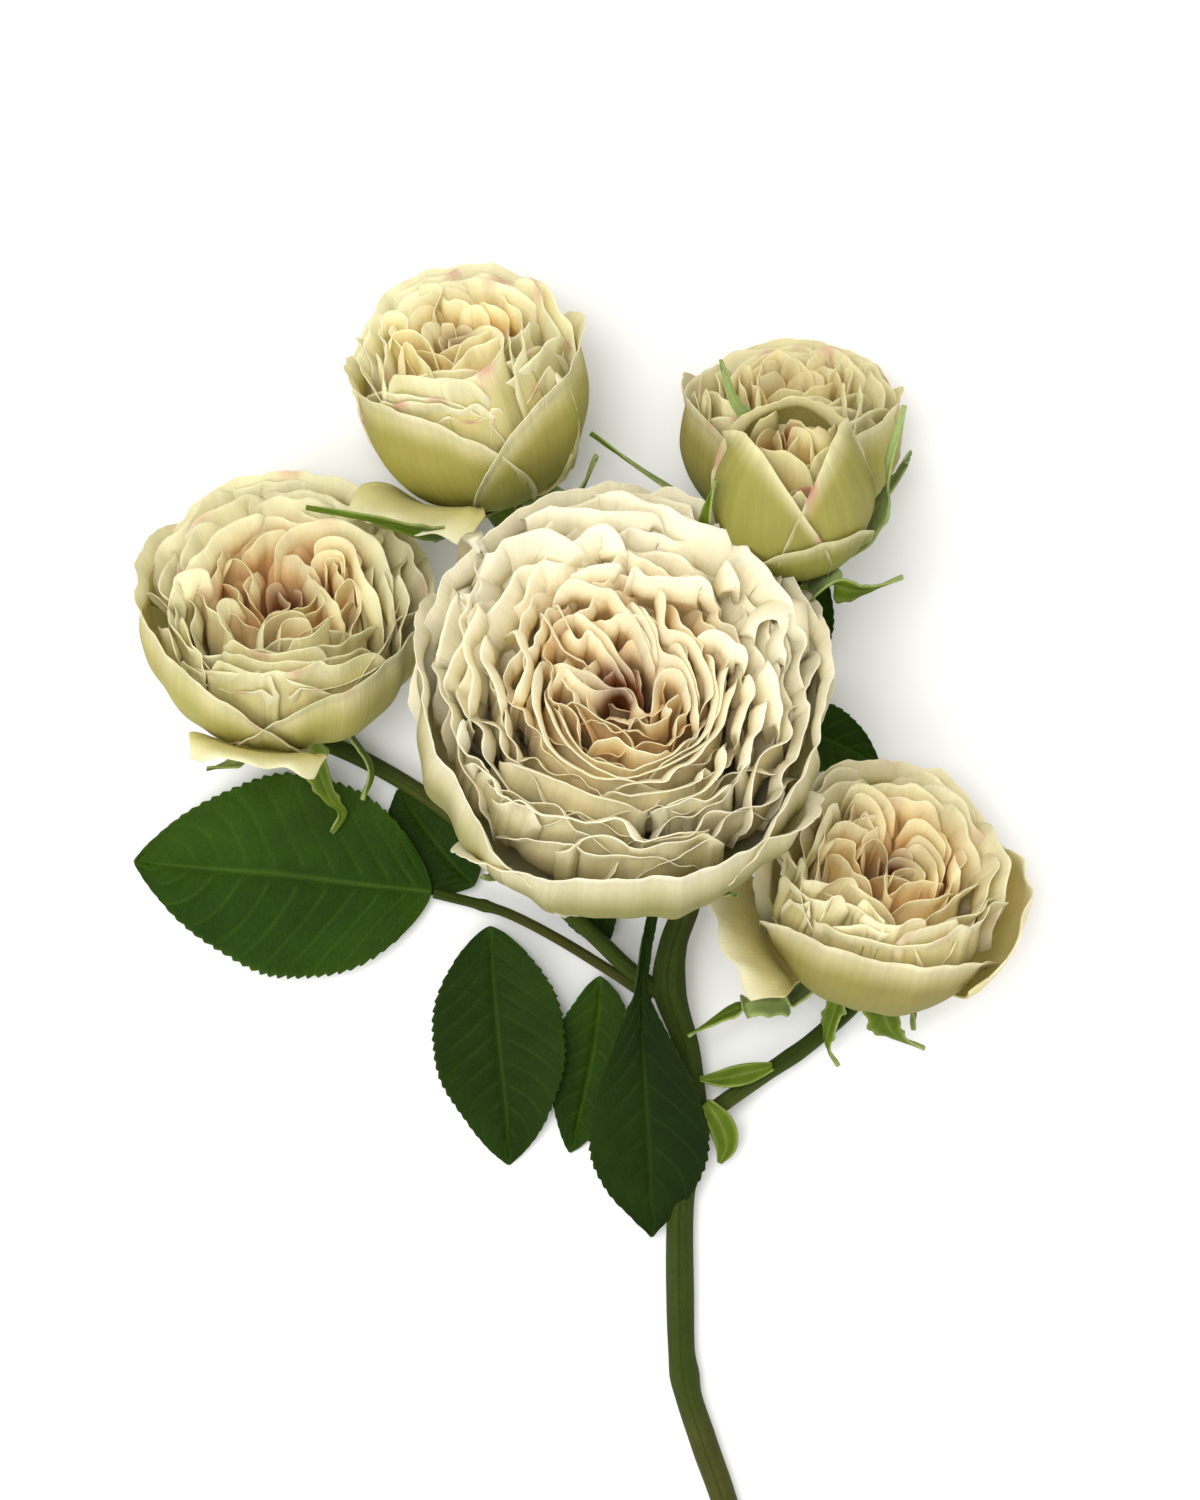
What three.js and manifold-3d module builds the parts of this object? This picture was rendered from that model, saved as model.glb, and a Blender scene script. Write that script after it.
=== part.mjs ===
// A cut spray rose: one stem that carries five cupped garden-rose blooms and one bud, with its leaves.
// It lies on its back on a flat surface. Millimetres, +Z up.
// +Y runs along the stem towards the blooms, +X is to the right when it is seen from above,
// and the origin is at the middle of the bounding box's underside.
import * as THREE from "three";
import { mergeVertices } from "three/addons/utils/BufferGeometryUtils.js";
import Module from "manifold-3d";

const wasm = await Module();
wasm.setup();

// ---------------------------------------------------------------- driving dimensions (mm)
const UNIT = 0.175; // one layout unit at the reference height
const REF_Z = 35; // height at which a layout unit is exactly UNIT
const SIGHT = 1000; // the layout shrinks towards this height above the reference
const ORIGIN = [600, 750]; // layout point over the plan's own zero
const SHIFT = [4.3916, 52.9556, -0.2]; // puts the origin under the middle of the bounding box
const STEM_R = 2.45; // main stem radius
const STALK_R = 1.45; // flower stalk radius
const PETAL_T = 0.7; // petal thickness in this model
const LAYER = 1.15; // step from one guard petal to the next
const LEAF_T = 0.8; // leaf thickness in this model
const GAP = 0.35; // clear gap between neighbouring pieces

// Layout coordinates (x to the right, y downwards, height) to millimetres.
const P = (x, y, z) => {
  const k = (UNIT * (SIGHT + REF_Z - z)) / SIGHT;
  return new THREE.Vector3(
    (x - ORIGIN[0]) * k + SHIFT[0],
    (ORIGIN[1] - y) * k + SHIFT[1],
    z + SHIFT[2],
  );
};

// ---------------------------------------------------------------- blooms
// base: layout point of the petals' base; lean: direction the axis leans to in plan, in degrees from +X;
// tilt: angle of the axis from +Z; R, H: widest radius and height; kv: how round the plan is along the lean.
const OPEN = [[0.10, 0], [0.42, 0.05], [0.68, 0.15], [0.86, 0.29], [0.97, 0.48], [1.0, 0.66], [0.97, 0.83], [0.9, 0.95]];
const CUP = [[0.12, 0], [0.45, 0.06], [0.72, 0.18], [0.9, 0.34], [1.0, 0.52], [0.99, 0.7], [0.93, 0.86], [0.83, 0.97]];
const BUD = [[0.14, 0], [0.52, 0.07], [0.8, 0.2], [0.96, 0.36], [1.0, 0.5], [0.93, 0.66], [0.76, 0.82], [0.5, 0.95]];
const BLOOMS = {
  center_bloom: { base: [616, 762, 31], lean: 84, tilt: 24, R: 37.3, H: 42, kv: 1.05, prof: OPEN, guards: 5, eye: 0.74, hip: 3.9 },
  left_bloom: { base: [288, 690, 11.5], lean: 88, tilt: 40, R: 27.5, H: 34, kv: 1, prof: OPEN, guards: 4, eye: 0.7, hip: 3.6 },
  upper_left_bloom: { base: [500, 492, 11.0], lean: 105, tilt: 52, R: 22.5, H: 40, kv: 1, prof: CUP, guards: 4, eye: 0.84, hip: 3.5 },
  back_bloom: { base: [788, 530, 9.6], lean: 90, tilt: 58, R: 21.5, H: 33, kv: 0.82, prof: CUP, guards: 3, eye: 0.8, hip: 3.2 },
  bud: { base: [799, 564, 40], lean: 96, tilt: 48, R: 15.2, H: 33, kv: 1, prof: BUD, guards: 4, eye: 0.9, hip: 3.0 },
  right_bloom: { base: [862, 966, 11.5], lean: 76, tilt: 42, R: 24, H: 36, kv: 1, prof: CUP, guards: 4, eye: 0.78, hip: 3.4 },
};

const rad = (d) => (d * Math.PI) / 180;
const mix = (a, b, t) => a + (b - a) * t;

for (const b of Object.values(BLOOMS)) {
  b.B = P(...b.base);
  const s = rad(b.lean), t = rad(b.tilt);
  b.a = new THREE.Vector3(Math.cos(s) * Math.sin(t), Math.sin(s) * Math.sin(t), Math.cos(t));
  b.u = new THREE.Vector3(Math.sin(s), -Math.cos(s), 0);
  b.v = new THREE.Vector3().crossVectors(b.a, b.u);
}

// Point of a bloom's own frame (radius, angle, height along the axis).
const inBloom = (b, r, phi, h) =>
  b.B.clone()
    .addScaledVector(b.u, r * Math.cos(phi))
    .addScaledVector(b.v, r * Math.sin(phi) * b.kv)
    .addScaledVector(b.a, h);

// The cup's outline at t (0 at the base, 1 at the rim), moved outwards by off.
function outline(b, t, off) {
  const n = b.prof.length - 1;
  const at = (s) => {
    const x = Math.min(Math.max(s, 0), 1) * n, i = Math.min(Math.floor(x), n - 1), f = x - i;
    const q = (j) => b.prof[Math.min(Math.max(j, 0), n)];
    const [p0, p1, p2, p3] = [q(i - 1), q(i), q(i + 1), q(i + 2)];
    const c = [0, 1].map((k) =>
      0.5 * (2 * p1[k] + (p2[k] - p0[k]) * f + (2 * p0[k] - 5 * p1[k] + 4 * p2[k] - p3[k]) * f * f + (3 * p1[k] - p0[k] - 3 * p2[k] + p3[k]) * f * f * f));
    return [c[0] * b.R, c[1] * b.H];
  };
  const [r, h] = at(t), p = at(t - 0.02), q = at(t + 0.02);
  const dr = q[0] - p[0], dh = q[1] - p[1], l = Math.hypot(dr, dh) || 1;
  return [Math.max(r + (dh / l) * off, 0.6), h - (dr / l) * off];
}

// ---------------------------------------------------------------- geometry helpers
const plain = (g) => {
  g.deleteAttribute("normal");
  g.deleteAttribute("uv");
  return mergeVertices(g, 1e-4);
};
const solid = (g) => {
  const m = plain(g.clone());
  const make = (tri) => new wasm.Manifold(new wasm.Mesh({ numProp: 3, vertProperties: new Float32Array(m.attributes.position.array), triVerts: tri }));
  let s = make(new Uint32Array(m.index.array));
  if (s.volume() < 0) {
    const t = new Uint32Array(m.index.array);
    for (let i = 0; i < t.length; i += 3) [t[i + 1], t[i + 2]] = [t[i + 2], t[i + 1]];
    s = make(t);
  }
  return s;
};
const largest = (s) => s.decompose().sort((x, y) => y.volume() - x.volume())[0] ?? s;
const geometry = (s) => {
  const m = s.getMesh(), v = new Float32Array(m.numVert * 3);
  for (let i = 0; i < m.numVert; i++) v.set(m.vertProperties.subarray(i * m.numProp, i * m.numProp + 3), i * 3);
  const g = new THREE.BufferGeometry().setAttribute("position", new THREE.BufferAttribute(v, 3)).setIndex(new THREE.BufferAttribute(m.triVerts, 1));
  g.computeVertexNormals();
  return g;
};
// A box bent by a map of its three coordinates, each from -0.5 to 0.5.
function bent(nx, ny, map) {
  const g = plain(new THREE.BoxGeometry(1, 1, 1, nx, ny, 1));
  const p = g.attributes.position;
  for (let i = 0; i < p.count; i++) {
    const q = map(p.getX(i), p.getY(i), p.getZ(i));
    p.setXYZ(i, q.x, q.y, q.z);
  }
  return solid(g);
}
// A guard petal: a bent patch of the cup's outline between the base and tTop.
// phi: middle direction; half: half width in radians; off: layer; flare: how far its tip falls outwards.
function guardPetal(b, { phi, half, t0 = 0.05, tTop = 0.95, off = 0, flare = 0, nx = 6, ny = 5 }, grow = 0) {
  const th = PETAL_T + 2 * grow;
  return bent(nx, ny, (x, y, z) => {
    const s = y + 0.5; // base to rim
    const round = 1 - 0.24 * (2 * x) ** 2 * s; // the corners of the rim are rounded off
    const t = mix(t0, tTop, s) * (s > 0.5 ? mix(1, round, (s - 0.5) * 2) : 1) + (grow * (s - 0.5)) / b.H;
    const w = half * (0.34 + 0.66 * Math.sin(Math.PI * Math.min(s * 0.62 + 0.02, 0.5))) * (s > 0.75 ? 1 - 1.1 * (s - 0.75) : 1);
    const [r, h] = outline(b, t, off + z * th);
    const away = flare * Math.max(s - 0.42, 0) ** 2;
    const a = phi + 2 * x * (w + grow / Math.max(r, 6));
    return inBloom(b, r + away * 1.0, a, h - away * 0.75);
  });
}
// A ribbon along a curve: sepals, leaves, leaf stalks. pts: layout points. width(s), fold(s, x), normal.
function ribbon(pts, width, { th = LEAF_T, ns = 8, nw = 2, normal = new THREE.Vector3(0, 0, 1), fold = () => 0 } = {}, grow = 0) {
  const c = new THREE.CatmullRomCurve3(pts.map((p) => (p.isVector3 ? p : P(...p))), false, "centripetal");
  return bent(nw, ns, (x, y, z) => {
    const s = y + 0.5, o = c.getPoint(s), t = c.getTangent(s);
    const side = new THREE.Vector3().crossVectors(t, normal).normalize();
    const n = new THREE.Vector3().crossVectors(side, t).normalize();
    return o
      .addScaledVector(side, 2 * x * (width(s) + grow))
      .addScaledVector(n, z * (th + 2 * grow) + fold(s, 2 * x))
      .addScaledVector(t, 2 * y * grow);
  });
}
// A round stalk along a curve.
function stalk(pts, r, steps, sides = 8, grow = 0) {
  const c = new THREE.CatmullRomCurve3(pts.map((p) => (p.isVector3 ? p : P(...p))), false, "centripetal");
  const ring = new THREE.Shape(Array.from({ length: sides }, (_, i) => {
    const a = (2 * Math.PI * (i + 0.5)) / sides;
    return new THREE.Vector2(Math.cos(a) * (r + grow), Math.sin(a) * (r + grow));
  }));
  return solid(new THREE.ExtrudeGeometry(ring, { steps, bevelEnabled: false, extrudePath: c }));
}
// A turned body in a bloom's frame, from [radius, height] pairs that start and end on the axis.
function turned(b, pairs, seg, wave = () => 0) {
  const g = plain(new THREE.LatheGeometry(pairs.map(([r, h]) => new THREE.Vector2(Math.max(r, 0), h)), seg));
  const p = g.attributes.position;
  for (let i = 0; i < p.count; i++) {
    const x = p.getX(i), h = p.getY(i), z = p.getZ(i), r = Math.hypot(x, z), phi = Math.atan2(z, x);
    const q = inBloom(b, r, phi, h + wave(r, phi, h));
    p.setXYZ(i, q.x, q.y, q.z);
  }
  return solid(g);
}

// ---------------------------------------------------------------- the pieces
const made = []; // {name, body, fat, colour, rough}
const add = (name, body, fat, colour, rough = 0.6) => made.push({ name, body, fat: fat.add(body), colour, rough });
const GREEN = 0x3f5a1e, LEAF = 0x2c4a14, CREAM = 0xe6e0b8, PALE = 0xd9cf97, PEACH = 0xe8c9a0;

// Stem and flower stalks. They are separate growths: each could be snapped off at its joint.
const STEM = [[776, 1800, 2.8], [768, 1700, 2.8], [750, 1590, 2.9], [724, 1500, 3], [703, 1440, 3], [684, 1375, 3.2], [680, 1290, 3.4], [681, 1200, 3.8], [692, 1125, 4.6], [687, 1050, 5.8], [669, 990, 7.2], [673, 945, 8.4], [686, 905, 9.8], [684, 868, 11]];
add("main_stem", stalk(STEM, STEM_R, 26), stalk(STEM, STEM_R, 26, 8, GAP), GREEN);
const hipEnd = (n, d) => { const b = BLOOMS[n]; return b.B.clone().addScaledVector(b.a, -d); };
const HIP = 9.2; // length of the hip below the petals
const stalks = {
  center_stalk: ["center_bloom", [[684, 858, 11.5], [672, 826, 14], [648, 796, 20]], 1.75, 12],
  left_stalk: ["left_bloom", [[658, 990, 8], [628, 968, 7], [588, 930, 6.4], [520, 872, 5.6], [440, 806, 4.6], [368, 762, 3.6], [312, 738, 3.2]], 1.5, 18],
  upper_left_stalk: ["upper_left_bloom", [[676, 872, 9.5], [650, 800, 7.5], [606, 700, 5.4], [560, 610, 4.2], [528, 560, 3.6]], 1.45, 16],
  back_stalk: ["back_bloom", [[690, 866, 9.5], [706, 800, 7.5], [730, 720, 5.6], [760, 630, 3.4], [782, 580, 2.2]], 1.45, 14],
  bud_stalk: ["bud", [[735, 716, 8.8], [758, 698, 12], [780, 668, 18], [792, 636, 25]], 1.35, 10],
  right_stalk: ["right_bloom", [[696, 1124, 5.2], [722, 1104, 6], [765, 1074, 6], [806, 1046, 5.2]], 1.5, 10],
};
for (const [name, [bloom, pts, r, steps]] of Object.entries(stalks)) {
  const line = [...pts.map((p) => P(...p)), hipEnd(bloom, HIP + 3.2), hipEnd(bloom, HIP + 0.3)];
  add(name, stalk(line, r, steps), stalk(line, r, steps, 8, GAP), GREEN);
}

// Hips with their five sepals, one growth each. phi: direction around the hip; t: how far up the cup it lies;
// end: layout points of the free part; w: half width.
const SEPALS = {
  center_bloom: [{ phi: 20, t: 0.48 }, { phi: 92, t: 0.48 }, { phi: 164, t: 0.48 }, { phi: 236, t: 0.45 }, { phi: 308, t: 0.45 }],
  left_bloom: [
    { phi: 222, t: 0.08, end: [[240, 757, 18], [207, 769, 21]], w: 2.6 },
    { phi: 290, t: 0.07, end: [[326, 790, 12], [342, 812, 9], [332, 833, 7]], w: 2.2 },
    { phi: 335, t: 0.12, end: [[368, 762, 12], [364, 800, 10]], w: 1.8 },
    { phi: 55, t: 0.4 }, { phi: 130, t: 0.4 },
  ],
  upper_left_bloom: [
    { phi: 262, t: 0.1, end: [[440, 533, 36], [375, 519, 47], [306, 507, 50]], w: 2.7 },
    { phi: 330, t: 0.1, end: [[572, 498, 20], [597, 455, 24]], w: 2.4 },
    { phi: 50, t: 0.4 }, { phi: 100, t: 0.4 }, { phi: 150, t: 0.4 },
  ],
  back_bloom: [
    { phi: 205, t: 0.06, end: [[735, 535, 17], [690, 502, 23], [640, 468, 27], [591, 433, 30]], w: 1.6 },
    { phi: 10, t: 0.4, end: [[905, 462, 24]], w: 2.2 },
    { phi: 60, t: 0.4 }, { phi: 90, t: 0.4 }, { phi: 120, t: 0.4 },
  ],
  bud: [
    { phi: 55, t: 0.5 },
    { phi: 312, t: 0.08, end: [[830, 584, 49], [862, 590, 49], [903, 577, 50]], w: 3.2 },
    { phi: 5, t: 0.4, end: [[888, 462, 56], [906, 406, 58]], w: 2.6 },
    { phi: 200, t: 0.75, w: 2.6 },
    { phi: 112, t: 0.6, end: [[732, 396, 46], [721, 360, 49]], w: 2 },
  ],
  right_bloom: [
    { phi: 205, t: 0.05, end: [[788, 1006, 12], [745, 1012, 13], [688, 1036, 12]], w: 2.8 },
    { phi: 240, t: 0.03, end: [[828, 1040, 7], [838, 1066, 5]], w: 1.9 },
    { phi: 300, t: 0.05, end: [[895, 1036, 13], [922, 1049, 12]], w: 2.7 },
    { phi: 345, t: 0.1, end: [[912, 1008, 11], [914, 1030, 10]], w: 1.4 },
    { phi: 110, t: 0.35 },
  ],
};
for (const [name, b] of Object.entries(BLOOMS)) {
  const k = b.hip;
  const hipProfile = (g) => [[0, -HIP - g], [1.9 + g, -HIP - g], [k * 0.8 + g, -HIP * 0.72], [k + g, -HIP * 0.42], [k * 0.96 + g, -HIP * 0.2], [k * 0.9 + g, -1.0 + g], [0, -1.0 + g]];
  const parts = [turned(b, hipProfile(0), 10)], fat = [turned(b, hipProfile(GAP), 10)];
  for (const { phi, t, end = [], w = 2.6, out = 1.7 } of SEPALS[name]) {
    // each sepal follows the cup from the hip as far as t, then bends away to its tip
    const a = rad(phi), ts = [0.03, 0.3, 0.65, 1].map((f) => f * t);
    const cupLine = ts.map((f) => { const [r, h] = outline(b, f, out); return inBloom(b, r, a, h); });
    const pts = [inBloom(b, k * 0.45, a, -1.9 - 0.1 * k), ...(end.length && t < 0.15 ? cupLine.slice(0, 1) : cupLine), ...end.map((p) => P(...p))];
    const normal = b.u.clone().multiplyScalar(Math.cos(a)).addScaledVector(b.v, Math.sin(a)).addScaledVector(b.a, -0.4);
    const width = (x) => Math.max(0.45, w * (x < 0.3 ? mix(0.62, 1, x / 0.3) : 1 - ((x - 0.3) / 0.7) ** 1.2 * 0.86));
    const opt = { th: 0.75, ns: 6, nw: 2, normal };
    parts.push(ribbon(pts, width, opt));
    fat.push(ribbon(pts, width, opt, GAP));
  }
  add(name + "_calyx", largest(wasm.Manifold.union(parts)), wasm.Manifold.union(fat), GREEN);
}

// Petals: guard petals one by one, then the packed whorls inside them: a ring of middle petals and the inner petals that fill it.
const GUARDS = {
  center_bloom: [{ phi: 285, half: 66, tTop: 0.93 }, { phi: 205, half: 62, tTop: 0.98 }, { phi: 350, half: 60, tTop: 0.98 }, { phi: 130, half: 62, tTop: 1 }, { phi: 58, half: 62, tTop: 1 }],
  left_bloom: [{ phi: 262, half: 26, tTop: 0.7, flare: 17 }, { phi: 200, half: 78, tTop: 0.95 }, { phi: 330, half: 78, tTop: 0.93 }, { phi: 85, half: 80, tTop: 1 }],
  upper_left_bloom: [{ phi: 228, half: 34, tTop: 0.52, flare: 22 }, { phi: 335, half: 72, tTop: 0.88 }, { phi: 205, half: 76, tTop: 0.85 }, { phi: 95, half: 80, tTop: 0.97 }],
  back_bloom: [{ phi: 190, half: 78, tTop: 0.97 }, { phi: 340, half: 76, tTop: 0.92 }, { phi: 80, half: 80, tTop: 0.97 }],
  bud: [{ phi: 285, half: 52, tTop: 0.45 }, { phi: 200, half: 74, tTop: 0.86 }, { phi: 335, half: 74, tTop: 0.84 }, { phi: 90, half: 78, tTop: 0.84 }],
  right_bloom: [{ phi: 206, half: 34, tTop: 0.6, flare: 20 }, { phi: 2, half: 46, tTop: 0.84, flare: 9 }, { phi: 275, half: 80, tTop: 0.82 }, { phi: 110, half: 84, tTop: 0.97 }],
};
for (const [name, b] of Object.entries(BLOOMS)) {
  const n = GUARDS[name].length, inner = -(n * LAYER + 0.25);
  GUARDS[name].forEach((g, i) => {
    const o = { ...g, phi: rad(g.phi), half: rad(g.half), off: -(i + 0.35) * LAYER };
    add(`${name}_guard_petal_${i + 1}`, guardPetal(b, o), guardPetal(b, o, GAP * 0.45), i < 2 ? PALE : CREAM);
  });
  const ts = [0.02, 0.12, 0.26, 0.42, 0.6, 0.78, 0.95];
  const out = ts.map((t) => outline(b, t, inner));
  const [rr, hh] = out[out.length - 1], floor = b.H * 0.3, lip = 0.62;
  const bore = [[rr * lip, b.H * 0.9], [rr * lip * 0.94, b.H * 0.62], [rr * lip * 0.7, b.H * 0.4], [0, floor]];
  const cup = [[0, out[0][1]], ...out, [rr * 0.82, hh + b.H * 0.03], ...bore];
  const seg = 16;
  if (name === "bud") {
    // a closed bud: its inner petals are one tight, egg-shaped bundle
    const egg = [[0, out[0][1]], ...out, [rr * 0.5, hh + b.H * 0.035], [0, b.H * 0.99]];
    add("bud_inner_petals", turned(b, egg, seg), turned(b, egg, seg), PEACH);
    continue;
  }
  const ruffle = (r, phi, h) => (h > b.H * 0.86 ? 0.5 * Math.sin(5 * phi) + 0.35 * Math.sin(8 * phi + 1) : 0);
  add(`${name}_middle_petals`, turned(b, cup, seg, ruffle), turned(b, cup, seg, ruffle), CREAM);
  const heart = [[0, floor + 0.5], [rr * lip * 0.7 - 0.5, b.H * 0.4 + 0.5], [rr * lip * 0.94 - 0.5, b.H * 0.62], [rr * lip - 0.6, b.H * 0.86], [rr * lip * 0.7, b.H * (b.eye + 0.12)], [rr * lip * 0.3, b.H * (b.eye + 0.03)], [0, b.H * b.eye]];
  add(`${name}_inner_petals`, turned(b, heart, 12), turned(b, heart, 12), PEACH);
}

// Leaves. Each leaflet is its own blade; the leaf stalk that joins five of them is its own piece.
const blade = (w, tip = 1.3, low = 0.45) => (s) => Math.max(0.5, w * Math.sin(Math.PI * Math.min(Math.max(s, 0), 1) ** low) ** (s > 0.5 ? 1 / tip : 0.8));
// half widths of the lobed leaf along its length
const FRONT = [[0.05, 1.0], [0.12, 1.0], [0.23, 1.1], [0.34, 3.4], [0.45, 6.4], [0.56, 9.1], [0.67, 10.7], [0.78, 10.4], [0.89, 6.4], [1, 0.9]];
const leaves = {
  left_leaflet_end: { pts: [[432, 892, 3.6], [360, 884, 4.6], [280, 874, 4.4], [205, 868, 2.6], [135, 862, 0.9]], w: 18.4, low: 0.85 },
  left_leaflet_down: { pts: [[490, 926, 4.6], [494, 985, 5.6], [500, 1050, 5.4], [506, 1110, 3.6], [509, 1164, 1.4]], w: 12.0, low: 0.9 },
  left_leaflet_up: { pts: [[474, 886, 3.2], [448, 858, 1.4], [422, 824, 0.9], [398, 790, 0.9]], w: 9.5, low: 0.9 },
  left_leaflet_low: { pts: [[600, 976, 4.4], [598, 1020, 3.6], [588, 1080, 2.2], [570, 1152, 0.9]], w: 7.4, low: 0.9 },
  left_leaflet_under: { pts: [[606, 946, 4], [590, 908, 3], [574, 870, 2], [560, 826, 1]], w: 5.6, low: 0.9 },
  front_leaf: { pts: [[655, 905, 14.2], [646, 950, 14], [641, 1005, 12.6], [645, 1080, 10.4], [650, 1160, 7.4], [652, 1236, 4.2]], w: 11.2, shape: (s) => FRONT.find(([a]) => a >= s - 1e-9)[1] },
  right_leaf_upper: { pts: [[760, 690, 1.2], [784, 655, 1.0], [806, 612, 1.0], [824, 574, 1.6]], w: 6.6, low: 0.9 },
  right_leaf_lower: { pts: [[760, 716, 4.2], [796, 728, 4.6], [834, 742, 3.4], [878, 762, 1.4]], w: 6.2, low: 0.9 },
};
for (const [name, l] of Object.entries(leaves)) {
  const width = l.shape ?? blade(l.w, 1.3, l.low);
  const opt = { ns: 9, nw: 4, fold: (s, x) => 0.07 * l.w * Math.abs(x) };
  add(name, ribbon(l.pts, width, opt), ribbon(l.pts, width, opt, GAP), LEAF, 0.5);
}
const RACHIS = [[640, 992, 6.6], [612, 972, 5.8], [560, 940, 5.2], [512, 915, 4.8], [478, 904, 4.4], [438, 894, 3.8]];
add("left_leaf_stalk", stalk(RACHIS, 0.95, 12), stalk(RACHIS, 0.95, 12, 8, GAP), GREEN);
const bracts = {
  right_stalk_bract: { pts: [[772, 1066, 8.2], [745, 1074, 9.2], [722, 1078, 9], [700, 1079, 8.6]], w: 1.9 },
  right_leaf_base: { pts: [[706, 1102, 8.8], [722, 1126, 7.2], [726, 1146, 5.4], [720, 1162, 3.6]], w: 2.4 },
};
for (const [name, l] of Object.entries(bracts)) {
  const width = (s) => Math.max(0.4, l.w * Math.sin(Math.PI * (0.12 + 0.82 * s)));
  add(name, ribbon(l.pts, width, { ns: 5, nw: 2 }), ribbon(l.pts, width, { ns: 5, nw: 2 }, GAP), GREEN);
}

// ---------------------------------------------------------------- neighbours keep a clear gap
const first = ["main_stem", "inner", "middle", "guard", "calyx", "stalk", "leaf", "bract"];
const rank = (n) => first.findIndex((w) => n.includes(w));
made.sort((x, y) => rank(x.name) - rank(y.name));
for (let i = 0; i < made.length; i++)
  for (let j = i + 1; j < made.length; j++) {
    const a = made[i], b = made[j];
    if (b.body.intersect(a.fat).volume() > 1e-4) {
      const before = b.body.volume();
      b.body = largest(b.body.subtract(a.fat));
      (b.cuts ??= []).push(`${a.name} ${(before - b.body.volume()).toFixed(1)} of ${before.toFixed(0)}`);
    }
  }

const spray = new THREE.Group();
for (const m of made) {
  const mesh = new THREE.Mesh(geometry(m.body), new THREE.MeshStandardMaterial({ color: m.colour, roughness: m.rough, metalness: 0 }));
  mesh.name = m.name;
  mesh.userData.cuts = m.cuts ?? [];
  spray.add(mesh);
}
export default spray;
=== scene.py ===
import math

import bpy
import numpy as np
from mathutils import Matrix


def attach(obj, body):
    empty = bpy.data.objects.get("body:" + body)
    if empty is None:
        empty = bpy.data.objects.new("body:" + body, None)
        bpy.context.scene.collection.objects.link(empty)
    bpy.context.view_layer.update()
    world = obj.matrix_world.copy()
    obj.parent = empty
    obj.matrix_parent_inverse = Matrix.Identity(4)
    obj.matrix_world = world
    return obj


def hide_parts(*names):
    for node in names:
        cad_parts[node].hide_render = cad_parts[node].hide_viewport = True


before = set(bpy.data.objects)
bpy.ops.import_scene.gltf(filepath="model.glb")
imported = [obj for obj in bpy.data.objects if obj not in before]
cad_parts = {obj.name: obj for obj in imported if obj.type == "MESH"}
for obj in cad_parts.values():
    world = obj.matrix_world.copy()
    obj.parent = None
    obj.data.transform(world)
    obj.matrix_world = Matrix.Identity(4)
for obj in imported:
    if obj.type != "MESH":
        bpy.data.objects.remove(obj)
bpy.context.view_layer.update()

# ------------------------------------------------------------------ layout, the same as part.mjs (mm)
UNIT, REF_Z, SIGHT = 0.175, 35.0, 1000.0
ORIGIN = (600.0, 750.0)
SHIFT = np.array([4.3916, 52.9556, -0.2])


def P(x, y, z):
    """Layout coordinates (x to the right, y downwards, height) to mm."""
    x, y, z = np.broadcast_arrays(np.asarray(x, float), np.asarray(y, float), np.asarray(z, float))
    k = UNIT * (SIGHT + REF_Z - z) / SIGHT
    return np.stack([(x - ORIGIN[0]) * k, (ORIGIN[1] - y) * k, z], -1) + SHIFT


def smooth(a, b, x):
    t = np.clip((x - a) / (b - a), 0, 1)
    return t * t * (3 - 2 * t)


def unit(v):
    return v / np.maximum(np.linalg.norm(v, axis=-1, keepdims=True), 1e-9)


def spline(pts, n):
    """n points evenly spaced by length on a Catmull-Rom curve through pts."""
    p = np.asarray(pts, float)
    if len(p) == 2:
        p = np.array([p[0], (p[0] + p[1]) / 2, p[1]])
    q = np.vstack([2 * p[0] - p[1], p, 2 * p[-1] - p[-2]])
    out = []
    for i in range(1, len(q) - 2):
        t = np.linspace(0, 1, 24, endpoint=False)[:, None]
        a, b, c, d = q[i - 1], q[i], q[i + 1], q[i + 2]
        out.append(0.5 * (2 * b + (c - a) * t + (2 * a - 5 * b + 4 * c - d) * t**2 + (3 * b - a - 3 * c + d) * t**3))
    out = np.vstack(out + [p[-1:]])
    s = np.concatenate([[0], np.cumsum(np.linalg.norm(np.diff(out, axis=0), axis=1))])
    at = np.linspace(0, s[-1], n)
    return np.stack([np.interp(at, s, out[:, k]) for k in range(out.shape[1])], 1)


def waves(rng, x, wavelength, octaves=3):
    """Smooth seeded 1-D noise, about -1 to 1, along x (mm)."""
    v = np.zeros_like(x)
    for o in range(octaves):
        f = 2 * math.pi / wavelength * (1.0 + 0.83 * o) * rng.uniform(0.85, 1.2)
        v += np.sin(x * f + rng.uniform(0, 6.28)) / (1 + 0.8 * o)
    return v / 1.7


def lin(c):
    """sRGB 0-255 to linear."""
    c = np.asarray(c, float) / 255.0
    return np.where(c <= 0.04045, c / 12.92, ((c + 0.055) / 1.055) ** 2.4)


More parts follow.
